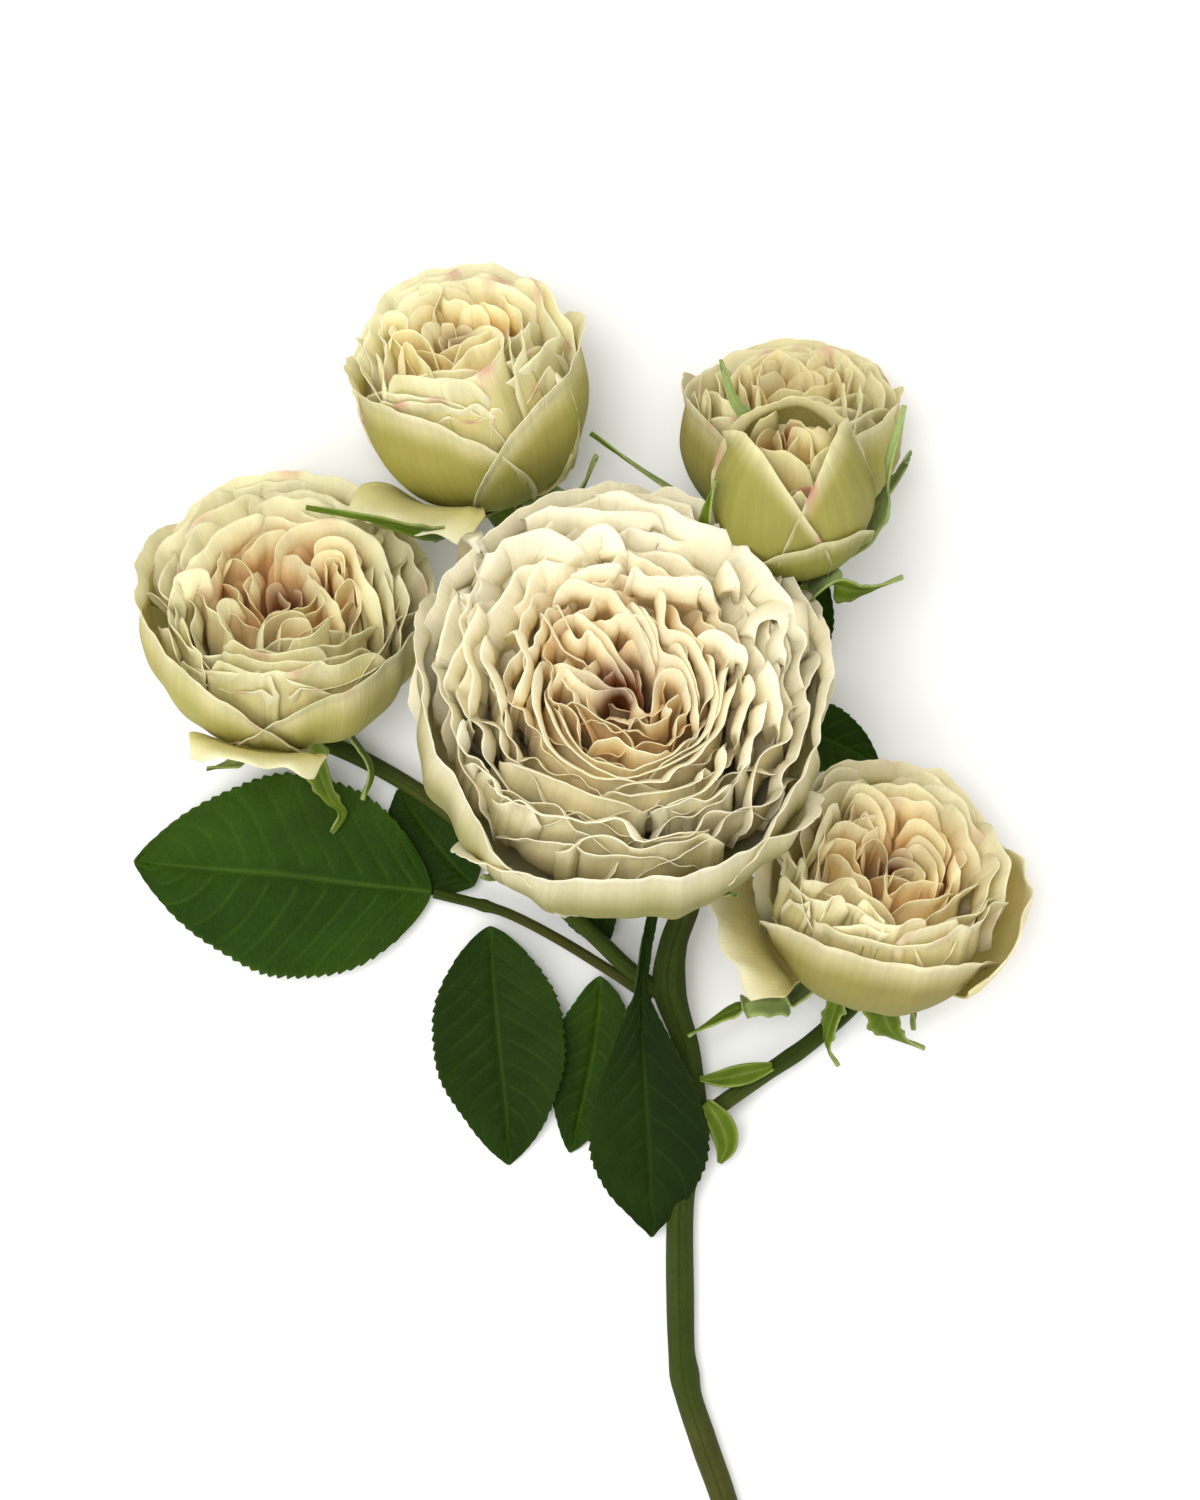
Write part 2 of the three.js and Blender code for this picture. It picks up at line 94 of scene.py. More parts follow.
# ------------------------------------------------------------------ meshes
class Piece:
    """Collects shells into one mesh with a colour, a detail attribute and a UV in mm."""

    def __init__(self, name):
        self.name, self.v, self.f, self.c, self.uv, self.d, self.n = name, [], [], [], [], [], 0

    def add(self, v, f, c, uv, d):
        self.v.append(v)
        self.f.append(np.asarray(f) + self.n)
        self.c.append(c)
        self.uv.append(uv)
        self.d.append(d)
        self.n += len(v)

    def build(self, material, body="root"):
        v, f = np.vstack(self.v) / 1000.0, np.vstack(self.f).astype(np.int32)
        me = bpy.data.meshes.new(self.name)
        me.vertices.add(len(v))
        me.vertices.foreach_set("co", v.astype(np.float32).ravel())
        me.loops.add(f.size)
        me.loops.foreach_set("vertex_index", f.ravel())
        me.polygons.add(len(f))
        me.polygons.foreach_set("loop_start", np.arange(0, f.size, f.shape[1], dtype=np.int32))
        me.update(calc_edges=True)
        me.polygons.foreach_set("use_smooth", np.ones(len(f), bool))
        c = np.vstack(self.c)
        col = me.color_attributes.new("tint", "FLOAT_COLOR", "POINT")
        col.data.foreach_set("color", np.hstack([c, np.ones((len(c), 1))]).astype(np.float32).ravel())
        d = me.attributes.new("detail", "FLOAT", "POINT")
        d.data.foreach_set("value", np.concatenate(self.d).astype(np.float32))
        uv = me.uv_layers.new(name="UVMap")
        uv.data.foreach_set("uv", np.vstack(self.uv)[f.ravel()].astype(np.float32).ravel())
        me.validate()
        o = bpy.data.objects.new(self.name, me)
        bpy.context.scene.collection.objects.link(o)
        me.materials.append(material)
        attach(o, body)
        return o


def shell(piece, G, th, colour_out, colour_in, uv, detail, round_rim=True):
    """A closed thin shell on a grid G (n, m, 3), th thick. The outer side is along the grid's normal."""
    n, m = G.shape[:2]
    N = unit(np.cross(np.gradient(G, axis=0), np.gradient(G, axis=1)))
    t = np.broadcast_to(np.asarray(th, float), (n, m))[..., None] / 2
    A, B = G + N * t, G - N * t
    v = np.concatenate([A.reshape(-1, 3), B.reshape(-1, 3)])
    i = np.arange(n * m).reshape(n, m)
    q = np.stack([i[:-1, :-1], i[1:, :-1], i[1:, 1:], i[:-1, 1:]], -1).reshape(-1, 4)
    o = n * m
    f = [q, q[:, ::-1] + o]
    ring = np.concatenate([i[:, 0], i[-1, 1:], i[-2::-1, -1], i[0, -2:0:-1]])
    nx = np.roll(ring, -1)
    f.append(np.stack([nx, ring, ring + o, nx + o], -1))
    c = np.concatenate([colour_out.reshape(-1, 3), colour_in.reshape(-1, 3)])
    u = np.concatenate([uv.reshape(-1, 2)] * 2)
    d = np.concatenate([detail.reshape(-1)] * 2)
    piece.add(v, np.vstack(f), c, u, d)


# ------------------------------------------------------------------ blooms (same base, axis and size as part.mjs)
OPEN = [(0.10, 0), (0.42, 0.05), (0.68, 0.15), (0.86, 0.29), (0.97, 0.48), (1.0, 0.66), (0.97, 0.83), (0.9, 0.95)]
CUP = [(0.12, 0), (0.45, 0.06), (0.72, 0.18), (0.9, 0.34), (1.0, 0.52), (0.99, 0.7), (0.93, 0.86), (0.83, 0.97)]
BUD = [(0.14, 0), (0.52, 0.07), (0.8, 0.2), (0.96, 0.36), (1.0, 0.5), (0.93, 0.66), (0.76, 0.82), (0.5, 0.95)]


class Bloom:
    def __init__(self, base, lean, tilt, R, H, kv, prof, dome, spread=0.0, hip=3.5):
        self.B = P(*base)
        s, t = math.radians(lean), math.radians(tilt)
        self.a = np.array([math.cos(s) * math.sin(t), math.sin(s) * math.sin(t), math.cos(t)])
        self.u = np.array([math.sin(s), -math.cos(s), 0.0])
        self.v = np.cross(self.a, self.u)
        self.R, self.H, self.kv, self.spread, self.hip = R, H, kv, spread, hip
        # radius share as a function of height share
        r = spline([(b, a) for a, b in prof], 80)
        self.ph, self.pr = r[:, 0], r[:, 1]
        self.dome = dome

    def S(self, h, phi):
        x = np.clip(h / self.H, 0, 1.1)
        s = np.interp(x, self.ph, self.pr)
        s = np.where(x > self.ph[-1], self.pr[-1] - (x - self.ph[-1]) * 0.3, s)
        up = 0.5 + 0.5 * np.sin(phi)  # 1 on the side that lies away from the viewer's end
        return s * (1 + self.spread * up * smooth(0.35, 1.0, x))

    def top(self, rho):
        return self.H * np.interp(rho, self.dome[0], self.dome[1])

    def world(self, x, y, h):
        return self.B + x[..., None] * self.u + (y * self.kv)[..., None] * self.v + h[..., None] * self.a

    def local(self, p):
        q = p - self.B
        return q @ self.u, (q @ self.v) / self.kv, q @ self.a

    def lift(self, px, py):
        """The first point of the bloom's body under each layout point, as (x, y, h, rho)."""
        zs = np.linspace(95, 0, 420)
        px, py = np.asarray(px, float), np.asarray(py, float)
        pts = P(px[:, None], py[:, None], zs[None, :])
        x, y, h = self.local(pts)
        phi = np.arctan2(y, x)
        rho = np.hypot(x, y) / self.R
        f = np.maximum((h - self.top(rho)) / self.H, rho - self.S(h, phi))
        f = np.where(h < 0, np.maximum(f, 1 - h / self.H * 0), f)
        inside = f < 0
        hit = inside.any(1)
        k = np.where(hit, inside.argmax(1), f.argmin(1))
        i = np.arange(len(px))
        return x[i, k], y[i, k], h[i, k], hit


def petal(piece, bl, x, y, h, tints, depth=16.0, curl=0.9, ruffle=0.1, wave=0.6, seed=0, th=0.28, nt=11, guard=False, flip=False, lay=None, taper=0.16, drop=0.11, curl_len=3.4, lip=4.2, droop=0.14):
    """One petal that hangs from its rim (x, y, h in the bloom's frame) down towards the bloom's base."""
    rng = np.random.default_rng(seed)
    step = np.hypot(np.hypot(np.diff(x), np.diff(y)), np.diff(h))
    s = np.concatenate([[0], np.cumsum(step)])
    L = s[-1]
    e = np.minimum(s, L - s) / max(L, 1e-6)
    if taper:
        h = h - bl.H * drop * (1 - smooth(0, taper, e)) ** 1.6
    h = h + 0.2 * waves(rng, s, 12.0, 2)
    phi = np.arctan2(y, x)
    S0 = bl.S(h, phi)
    lam = np.hypot(x, y) / bl.R / S0
    k = 1 + (lay if lay is not None else -0.02 * smooth(0.7, 0.95, lam))
    cap = 0.94 - 0.06 * (1 - smooth(0.7, 0.88, h / bl.H))
    k = np.where(lam * k > cap, cap / lam, k) if lay is None else k
    hb = np.maximum(bl.H * 0.05, h - depth)
    hb = np.minimum(hb, h - 0.6)
    t = (np.arange(nt) / (nt - 1)) ** 1.7
    hh = h[:, None] - t[None, :] * (h - hb)[:, None]
    sc = bl.S(hh, phi[:, None]) / S0[:, None] * np.asarray(k * np.ones_like(h))[:, None]
    X, Y = x[:, None] * sc, y[:, None] * sc
    G = np.stack([X, Y, hh], -1)
    N = unit(np.cross(np.gradient(G, axis=0), np.gradient(G, axis=1)))
    rad = unit(np.stack([X, Y, 0 * X], -1))
    sign = np.sign((N * rad).sum(-1).mean()) or 1.0
    if flip:
        sign = -sign
    N = N * sign
    below = np.concatenate([np.zeros((len(h), 1)), np.cumsum(np.linalg.norm(np.diff(G, axis=1), axis=-1), axis=1)], 1)
    rr = np.hypot(x, y) / bl.R
    lf = 0.12 + 0.88 * smooth(-0.85, 0.25, np.sin(phi))
    c0 = curl * (1.85 * smooth(-0.05, 0.22, rr) + lip * smooth(0.35, 0.8, rr) * lf) * (1 + 0.1 * waves(rng, s, 22.0, 2)) * (bl.R / 37.3) ** 0.6
    cl = curl_len * (1 + 0.75 * smooth(0.35, 0.8, rr) * lf)
    c0 = c0 * (0.35 + 0.65 * smooth(0, 0.16, e)) if taper else c0
    c = c0[:, None] * (np.clip(1 - below / cl[:, None], 0, 1) ** 1.4 - 1)
    r = ruffle * waves(rng, s, 6.5, 2)[:, None] * np.exp(-below / 3.0)
    w = wave * waves(rng, s, 19.0, 2)[:, None] * np.exp(-below / 7.0)
    pleat = 0.03 * waves(rng, s, 1.9, 2)[:, None] * np.exp(-below / 9.0)
    end = smooth(0, 0.05, e)[:, None]
    move = (r + w + pleat) * end
    if lay is None:
        # petals inside the guards stay inside them
        move = np.minimum(move, (np.maximum(0.95 - lam * k, 0) * bl.R + 0.05)[:, None])
    G = G + N * (c + move)[..., None]
    G[..., 2] -= droop * c * (smooth(0.35, 0.8, rr) * lf)[:, None] * np.exp(-below / 9.0)
    if sign < 0:
        G = G[::-1]
        s2, below, hh, X, Y = s, below[::-1], hh[::-1], X[::-1], Y[::-1]
    W = bl.world(G[..., 0], G[..., 1], G[..., 2])
    rho = np.hypot(G[..., 0], G[..., 1]) / bl.R
    deep = bl.top(np.clip(rho, 0, 1)) - hh
    uv = np.stack([np.broadcast_to(s[:, None], below.shape), below], -1) + rng.uniform(0, 400, 2)
    co, ci = tints(bl, rho, hh / bl.H, deep, below, guard, rng, s[::-1] if sign < 0 else s)
    thick = th * (0.4 + 0.6 * smooth(0, 1.5, below))
    shell(piece, W, thick, co, ci, uv, np.clip(below / 10, 0, 1))


def make_tints(cream, body, peach, green, out, eye=(150, 84, 44), pink=0.5, peach_amount=1.0, green_amount=1.0):
    cream, body, peach, green, out, eye, blush = (lin(c) for c in (cream, body, peach, green, out, eye, (206, 108, 104)))

    def tints(bl, rho, hs, deep, below, guard, rng, s=None):
        var = rng.uniform(-0.03, 0.03)
        a = smooth(0.3, 7.0, below)[..., None]
        base = cream * (1 - a) + body * a
        pf = (peach_amount * np.clip(0.12 + smooth(0.4, 8.0, deep), 0, 1) * (1 - 0.95 * smooth(0.28, 0.66, rho)))[..., None]
        inner = base * (1 - pf) + peach * pf
        # painted shade: the deepest middle of the bloom is blended towards the dark brown eye colour, which stands in
        # for the shade down in the eye
        eye_shade = (np.clip(0.3 + smooth(0.2, 4.0, deep), 0, 1) * (1 - smooth(0.05, 0.2, rho)))[..., None]
        inner = inner * (1 - eye_shade) + eye * eye_shade
        gf = (green_amount * (1.0 if guard else 0.4) * (1 - smooth(0.1, 0.62, hs)))[..., None]
        inner = inner * (1 - 0.5 * gf) + green * 0.5 * gf
        # the outsides turn towards the exterior tint down from the rim: the real greener outside of the petals, and for
        # the centre bloom, whose exterior tint is darker, also painted shade
        if guard:
            o = np.clip(0.8 * smooth(0.0, 14.0 * bl.R / 37.3, below) + 0.25 * smooth(0, 2, below), 0, 1)[..., None]
        else:
            o = smooth(0.0, 5.0, below)[..., None] * (0.06 + 0.34 * smooth(0.62, 0.95, rho)[..., None])
        outer = base * (1 - o) + out * o
        outer = outer * (1 - 0.75 * pf) + peach * 0.75 * pf
        outer = outer * (1 - 0.8 * gf) + green * 0.8 * gf
        if s is not None:
            # blush at some rims, greener and paler patches, faint lengthwise streaks
            m = (pink * smooth(0.5, 1.0, waves(rng, s, 26.0, 2))[:, None] * np.exp(-below / 1.7) * smooth(0.25, 0.6, rho))[..., None]
            outer, inner = outer * (1 - m) + blush * m, inner * (1 - 0.7 * m) + blush * 0.7 * m
            g = (0.3 * smooth(0.1, 1.0, waves(rng, s, 30.0, 2))[:, None] * smooth(0.5, 0.9, rho))[..., None]
            outer = outer * (1 - g) + green * 1.15 * g
            k = (1 + 0.035 * waves(rng, s, 2.4, 2))[:, None, None]
            outer, inner = outer * k, inner * (1 + (k - 1) * 0.5)
        k = ((1 + var) * (1 - 0.05 * smooth(0.55, 0.95, rho)))[..., None]
        return outer * k, inner * k

    return tints


def traced(bl, pts, n=None, down=0.0):
    """A rim through layout points, laid on the bloom's body."""
    c = spline(pts, 200)
    x, y, h, hit = bl.lift(c[:, 0], c[:, 1])
    if hit.sum() > 40:
        x, y, h = x[hit], y[hit], h[hit]
    else:
        return None
    g = spline(np.stack([x, y, h], 1)[:: 8 if len(x) >= 64 else 2], 400)
    L = np.linalg.norm(np.diff(g, axis=0), axis=1).sum()
    n = n or int(np.clip(L / 0.75, 14, 190))
    g = g[np.linspace(0, 399, n).round().astype(int)]
    return g[:, 0], g[:, 1], g[:, 2] - down


def arc(bl, phi, half, rho, top, n=None, round_=3.0, low=0.12, rng=None, wob=0.03, cap=None):
    """A rim along a circle of the bloom: phi and half in degrees, rho its radius share, top its height share."""
    half = math.radians(half)
    q = np.linspace(-1, 1, n or int(np.clip(2 * half * rho * bl.R / 0.8, 20, 150)))
    a = math.radians(phi) + q * half
    f = np.clip(1 - np.abs(q) ** round_, 0, 1) ** 0.7
    h = bl.H * (low + (top - low) * f)
    w = 1 + wob * waves(rng, q * half * bl.R, 22.0) if rng is not None else 1.0
    if cap is not None:
        w = np.minimum(w, cap / rho)
    lamS = bl.S(h, a) * rho
    return bl.R * lamS * w * np.cos(a), bl.R * lamS * w * np.sin(a), h


def ribbon(piece, pts, width, normal, colour, under=None, th=0.45, ns=60, nw=13, fold=None, edge=None, lift=None, seed=0):
    """A leaf or sepal along pts (mm). width(s) is its half width, fold(s, x) its height off the plane, edge(s, side) its toothing."""
    c = spline(pts, ns)
    T = unit(np.gradient(c, axis=0))
    n0 = np.broadcast_to(np.asarray(normal, float), c.shape)
    side = unit(np.cross(T, n0))
    n = np.cross(side, T)
    s = np.linspace(0, 1, ns)
    x = np.linspace(-1, 1, nw)
    w = np.maximum(np.array([width(a) for a in s]), 0.04)
    W = w[:, None] * (np.abs(x)[None, :] * np.sign(x)[None, :])
    if edge is not None:
        e = np.abs(x)[None, :] ** 3
        W = W * (1 + edge(s[:, None], np.sign(x)[None, :]) * e)
    L = np.linalg.norm(np.diff(c, axis=0), axis=1).sum()
    F = fold(s[:, None], x[None, :]) if fold is not None else 0 * W
    G = c[:, None, :] + side[:, None, :] * W[..., None] + n[:, None, :] * (F + 0 * W)[..., None]
    uv = np.stack([W, np.broadcast_to((s * L)[:, None], W.shape)], -1)
    co, d = colour(s[:, None] + 0 * W, x[None, :] + 0 * W, W, s[:, None] * L + 0 * W)
    ci = co if under is None else under(s[:, None] + 0 * W, x[None, :] + 0 * W, co)
    # outer side of the shell faces along n
    if (np.cross(T[ns // 2], side[ns // 2]) @ n[ns // 2]) < 0:
        G, uv, co, ci, d = G[:, ::-1], uv[:, ::-1], co[:, ::-1], ci[:, ::-1], d[:, ::-1]
    shell(piece, G, th, co, ci, uv, d)


def tube(piece, pts, radius, colour, ns=120, sides=26, flat=1.0, cap=None):
    """A closed stalk along pts (mm). radius(t) in mm along it, colour(t, angle) gives its tint."""
    c = spline(pts, ns)
    T = unit(np.gradient(c, axis=0))
    N = np.zeros_like(T)
    n = np.array([0, 0, 1.0]) - T[0] * T[0][2]
    for i in range(ns):
        n = n - T[i] * (n @ T[i])
        n /= np.linalg.norm(n)
        N[i] = n
    Bn = np.cross(T, N)
    L = np.linalg.norm(np.diff(c, axis=0), axis=1).sum()
    s = np.linspace(0, 1, ns)
    a = np.arange(sides) * 2 * math.pi / sides
    r = radius(s[:, None] * L, a[None, :]) + 0 * a[None, :]
    G = c[:, None, :] + (N[:, None, :] * np.cos(a)[None, :, None] + Bn[:, None, :] * np.sin(a)[None, :, None] * flat) * r[..., None]
    i = np.arange(ns * sides).reshape(ns, sides)
    j = np.roll(i, -1, axis=1)
    f = [np.stack([i[:-1], j[:-1], j[1:], i[1:]], -1).reshape(-1, 4)]
    v = [G.reshape(-1, 3)]
    col = colour(s[:, None] * L + 0 * r, a[None, :] + 0 * r)
    cs = [col.reshape(-1, 3)]
    uv = [np.stack([a[None, :] * r.mean() + 0 * r, s[:, None] * L + 0 * r], -1).reshape(-1, 2)]
    n0 = ns * sides
    base = n0
    for end, sgn in ((0, 1), (ns - 1, -1)):
        prev = i[end]
        for k, q in enumerate((0.93, 0.6, 0.3)):
            ring = c[end] + (G[end] - c[end]) * q
            v.append(ring)
            cc = cap(q) if cap is not None else col[end].mean(0)
            cs.append(np.broadcast_to(cc, (sides, 3)))
            uv.append(np.zeros((sides, 2)))
            cur = base + np.arange(sides)
            base += sides
            p, q2 = prev, np.roll(prev, -1)
            x, y = cur, np.roll(cur, -1)
            f.append(np.stack([p, x, y, q2] if sgn > 0 else [p, q2, y, x], -1))
            prev = cur
        v.append(c[end][None])
        cs.append(np.asarray(cap(0.0) if cap is not None else col[end].mean(0))[None])
        uv.append(np.zeros((1, 2)))
        o = base
        base += 1
        p, q2 = prev[::2], np.roll(prev, -1)[::2]
        q3 = np.roll(prev, -2)[::2]
        f.append(np.stack([p, np.full_like(p, o), q3, q2] if sgn > 0 else [p, q2, q3, np.full_like(p, o)], -1))
    piece.add(np.vstack(v), np.vstack(f), np.vstack(cs), np.vstack(uv), np.zeros(base))
    return c, T


# ------------------------------------------------------------------ materials
def node(nt, kind, **kw):
    n = nt.nodes.new(kind)
    for k, v in kw.items():
        setattr(n, k, v)
    return n


def material(name, colour_amount, bump, bump_scale, rough, sheen=0.0, sss=0.0, trans=0.0, stretch=(1, 1), spec=0.35, fine=0.0, radius=(1.0, 0.6, 0.3)):
    m = bpy.data.materials.new(name)
    m.use_nodes = True
    nt = m.node_tree
    nt.nodes.clear()
    out = node(nt, "ShaderNodeOutputMaterial")
    bsdf = node(nt, "ShaderNodeBsdfPrincipled")
    att = node(nt, "ShaderNodeAttribute", attribute_name="tint")
    uv = node(nt, "ShaderNodeUVMap", uv_map="UVMap")
    obj = node(nt, "ShaderNodeTexCoord")
    mp = node(nt, "ShaderNodeMapping")
    mp.inputs["Scale"].default_value = (stretch[0], stretch[1], 1)
    nt.links.new(uv.outputs[0], mp.inputs[0])
    # soft blotches in the colour
    blot = node(nt, "ShaderNodeTexNoise")
    blot.inputs["Scale"].default_value = 140.0
    blot.inputs["Detail"].default_value = 4.0
    nt.links.new(obj.outputs["Object"], blot.inputs["Vector"])
    veins = node(nt, "ShaderNodeTexNoise")
    veins.inputs["Scale"].default_value = bump_scale
    veins.inputs["Detail"].default_value = 3.0
    nt.links.new(mp.outputs[0], veins.inputs["Vector"])
    mr = node(nt, "ShaderNodeMapRange")
    mr.inputs["From Min"].default_value = 0.3
    mr.inputs["From Max"].default_value = 0.7
    mr.inputs["To Min"].default_value = 1 - colour_amount
    mr.inputs["To Max"].default_value = 1 + colour_amount
    nt.links.new(blot.outputs[0], mr.inputs["Value"])
    mr2 = node(nt, "ShaderNodeMapRange")
    mr2.inputs["From Min"].default_value = 0.3
    mr2.inputs["From Max"].default_value = 0.7
    mr2.inputs["To Min"].default_value = 1 - fine
    mr2.inputs["To Max"].default_value = 1 + fine
    nt.links.new(veins.outputs[0], mr2.inputs["Value"])
    mul = node(nt, "ShaderNodeMath", operation="MULTIPLY")
    nt.links.new(mr.outputs[0], mul.inputs[0])
    nt.links.new(mr2.outputs[0], mul.inputs[1])
    vm = node(nt, "ShaderNodeVectorMath", operation="SCALE")
    nt.links.new(att.outputs["Color"], vm.inputs[0])
    nt.links.new(mul.outputs[0], vm.inputs["Scale"])
    nt.links.new(vm.outputs[0], bsdf.inputs["Base Color"])
    rr = node(nt, "ShaderNodeMapRange")
    rr.inputs["From Min"].default_value = 0.3
    rr.inputs["From Max"].default_value = 0.7
    rr.inputs["To Min"].default_value = rough - 0.08
    rr.inputs["To Max"].default_value = rough + 0.1
    nt.links.new(veins.outputs[0], rr.inputs["Value"])
    nt.links.new(rr.outputs[0], bsdf.inputs["Roughness"])
    bsdf.inputs["Specular IOR Level"].default_value = spec
    if sss:
        bsdf.inputs["Subsurface Weight"].default_value = sss
        bsdf.inputs["Subsurface Radius"].default_value = radius
        bsdf.inputs["Subsurface Scale"].default_value = 0.001
    if sheen:
        bsdf.inputs["Sheen Weight"].default_value = sheen
        bsdf.inputs["Sheen Roughness"].default_value = 0.4
    bp = node(nt, "ShaderNodeBump")
    bp.inputs["Strength"].default_value = bump
    bp.inputs["Distance"].default_value = 0.0004
    nt.links.new(veins.outputs[0], bp.inputs["Height"])
    nt.links.new(bp.outputs[0], bsdf.inputs["Normal"])
    if trans:
        tr = node(nt, "ShaderNodeBsdfTranslucent")
        nt.links.new(vm.outputs[0], tr.inputs["Color"])
        nt.links.new(bp.outputs[0], tr.inputs["Normal"])
        mx = node(nt, "ShaderNodeMixShader")
        mx.inputs[0].default_value = trans
        nt.links.new(bsdf.outputs[0], mx.inputs[1])
        nt.links.new(tr.outputs[0], mx.inputs[2])
        nt.links.new(mx.outputs[0], out.inputs[0])
    else:
        nt.links.new(bsdf.outputs[0], out.inputs[0])
    return m


PETAL = material("petal", 0.05, 0.35, 1.0, 0.62, sheen=0.0, trans=0.34, stretch=(2.2, 0.16), spec=0.25, fine=0.03)
INNER = material("petal_inner", 0.05, 0.35, 1.0, 0.62, sheen=0.0, trans=0.42, stretch=(2.2, 0.16), spec=0.2, fine=0.03)
LEAFM = material("leaf", 0.14, 0.5, 2.2, 0.5, trans=0.06, stretch=(1, 1), spec=0.06, fine=0.12)
SEPALM = material("sepal", 0.16, 0.5, 2.6, 0.55, trans=0.1, stretch=(1.6, 0.5), spec=0.15, fine=0.12)
STEMM = material("stem", 0.16, 0.6, 2.4, 0.5, stretch=(1.8, 0.35), spec=0.06, fine=0.14)

# ------------------------------------------------------------------ the blooms
DOME = ([0, 0.15, 0.3, 0.45, 0.6, 0.75, 0.9, 1.0, 1.2], [0.74, 0.84, 0.94, 0.985, 1.0, 0.99, 0.95, 0.88, 0.6])


def dome(eye, edge=0.88):
    x, y = DOME
    y = np.array(y)
    y[:3] = y[:3] + (eye - 0.74) * np.array([1, 0.6, 0.2])
    y[7] = edge
    y[6] = 0.95 + (edge - 0.88) * 0.5
    return (x, list(y))


BL = {
    "center_bloom": Bloom((616, 762, 31), 84, 24, 37.3, 42, 1.05, OPEN, dome(0.74), 0.0, 3.9),
    "left_bloom": Bloom((288, 690, 11.5), 88, 40, 27.5, 34, 1, OPEN, dome(0.70, 0.86), 0.0, 3.6),
    "upper_left_bloom": Bloom((500, 492, 11.0), 105, 52, 22.5, 40, 1, CUP, dome(0.84, 0.86), 0.0, 3.5),
    "back_bloom": Bloom((788, 530, 9.6), 90, 58, 21.5, 33, 0.82, CUP, dome(0.84, 0.86), 0.0, 3.2),
    "bud": Bloom((799, 564, 40), 96, 48, 15.2, 33, 1, BUD, ([0, 0.3, 0.55, 0.8, 1.0], [0.97, 0.93, 0.85, 0.72, 0.5]), 0.0, 3.0),
    "right_bloom": Bloom((862, 966, 11.5), 76, 42, 24, 36, 1, CUP, dome(0.78, 0.86), 0.0, 3.4),
}


def pts(text):
    n = [float(a) for a in text.replace(",", " ").split()]
    return np.array(n).reshape(-1, 2)


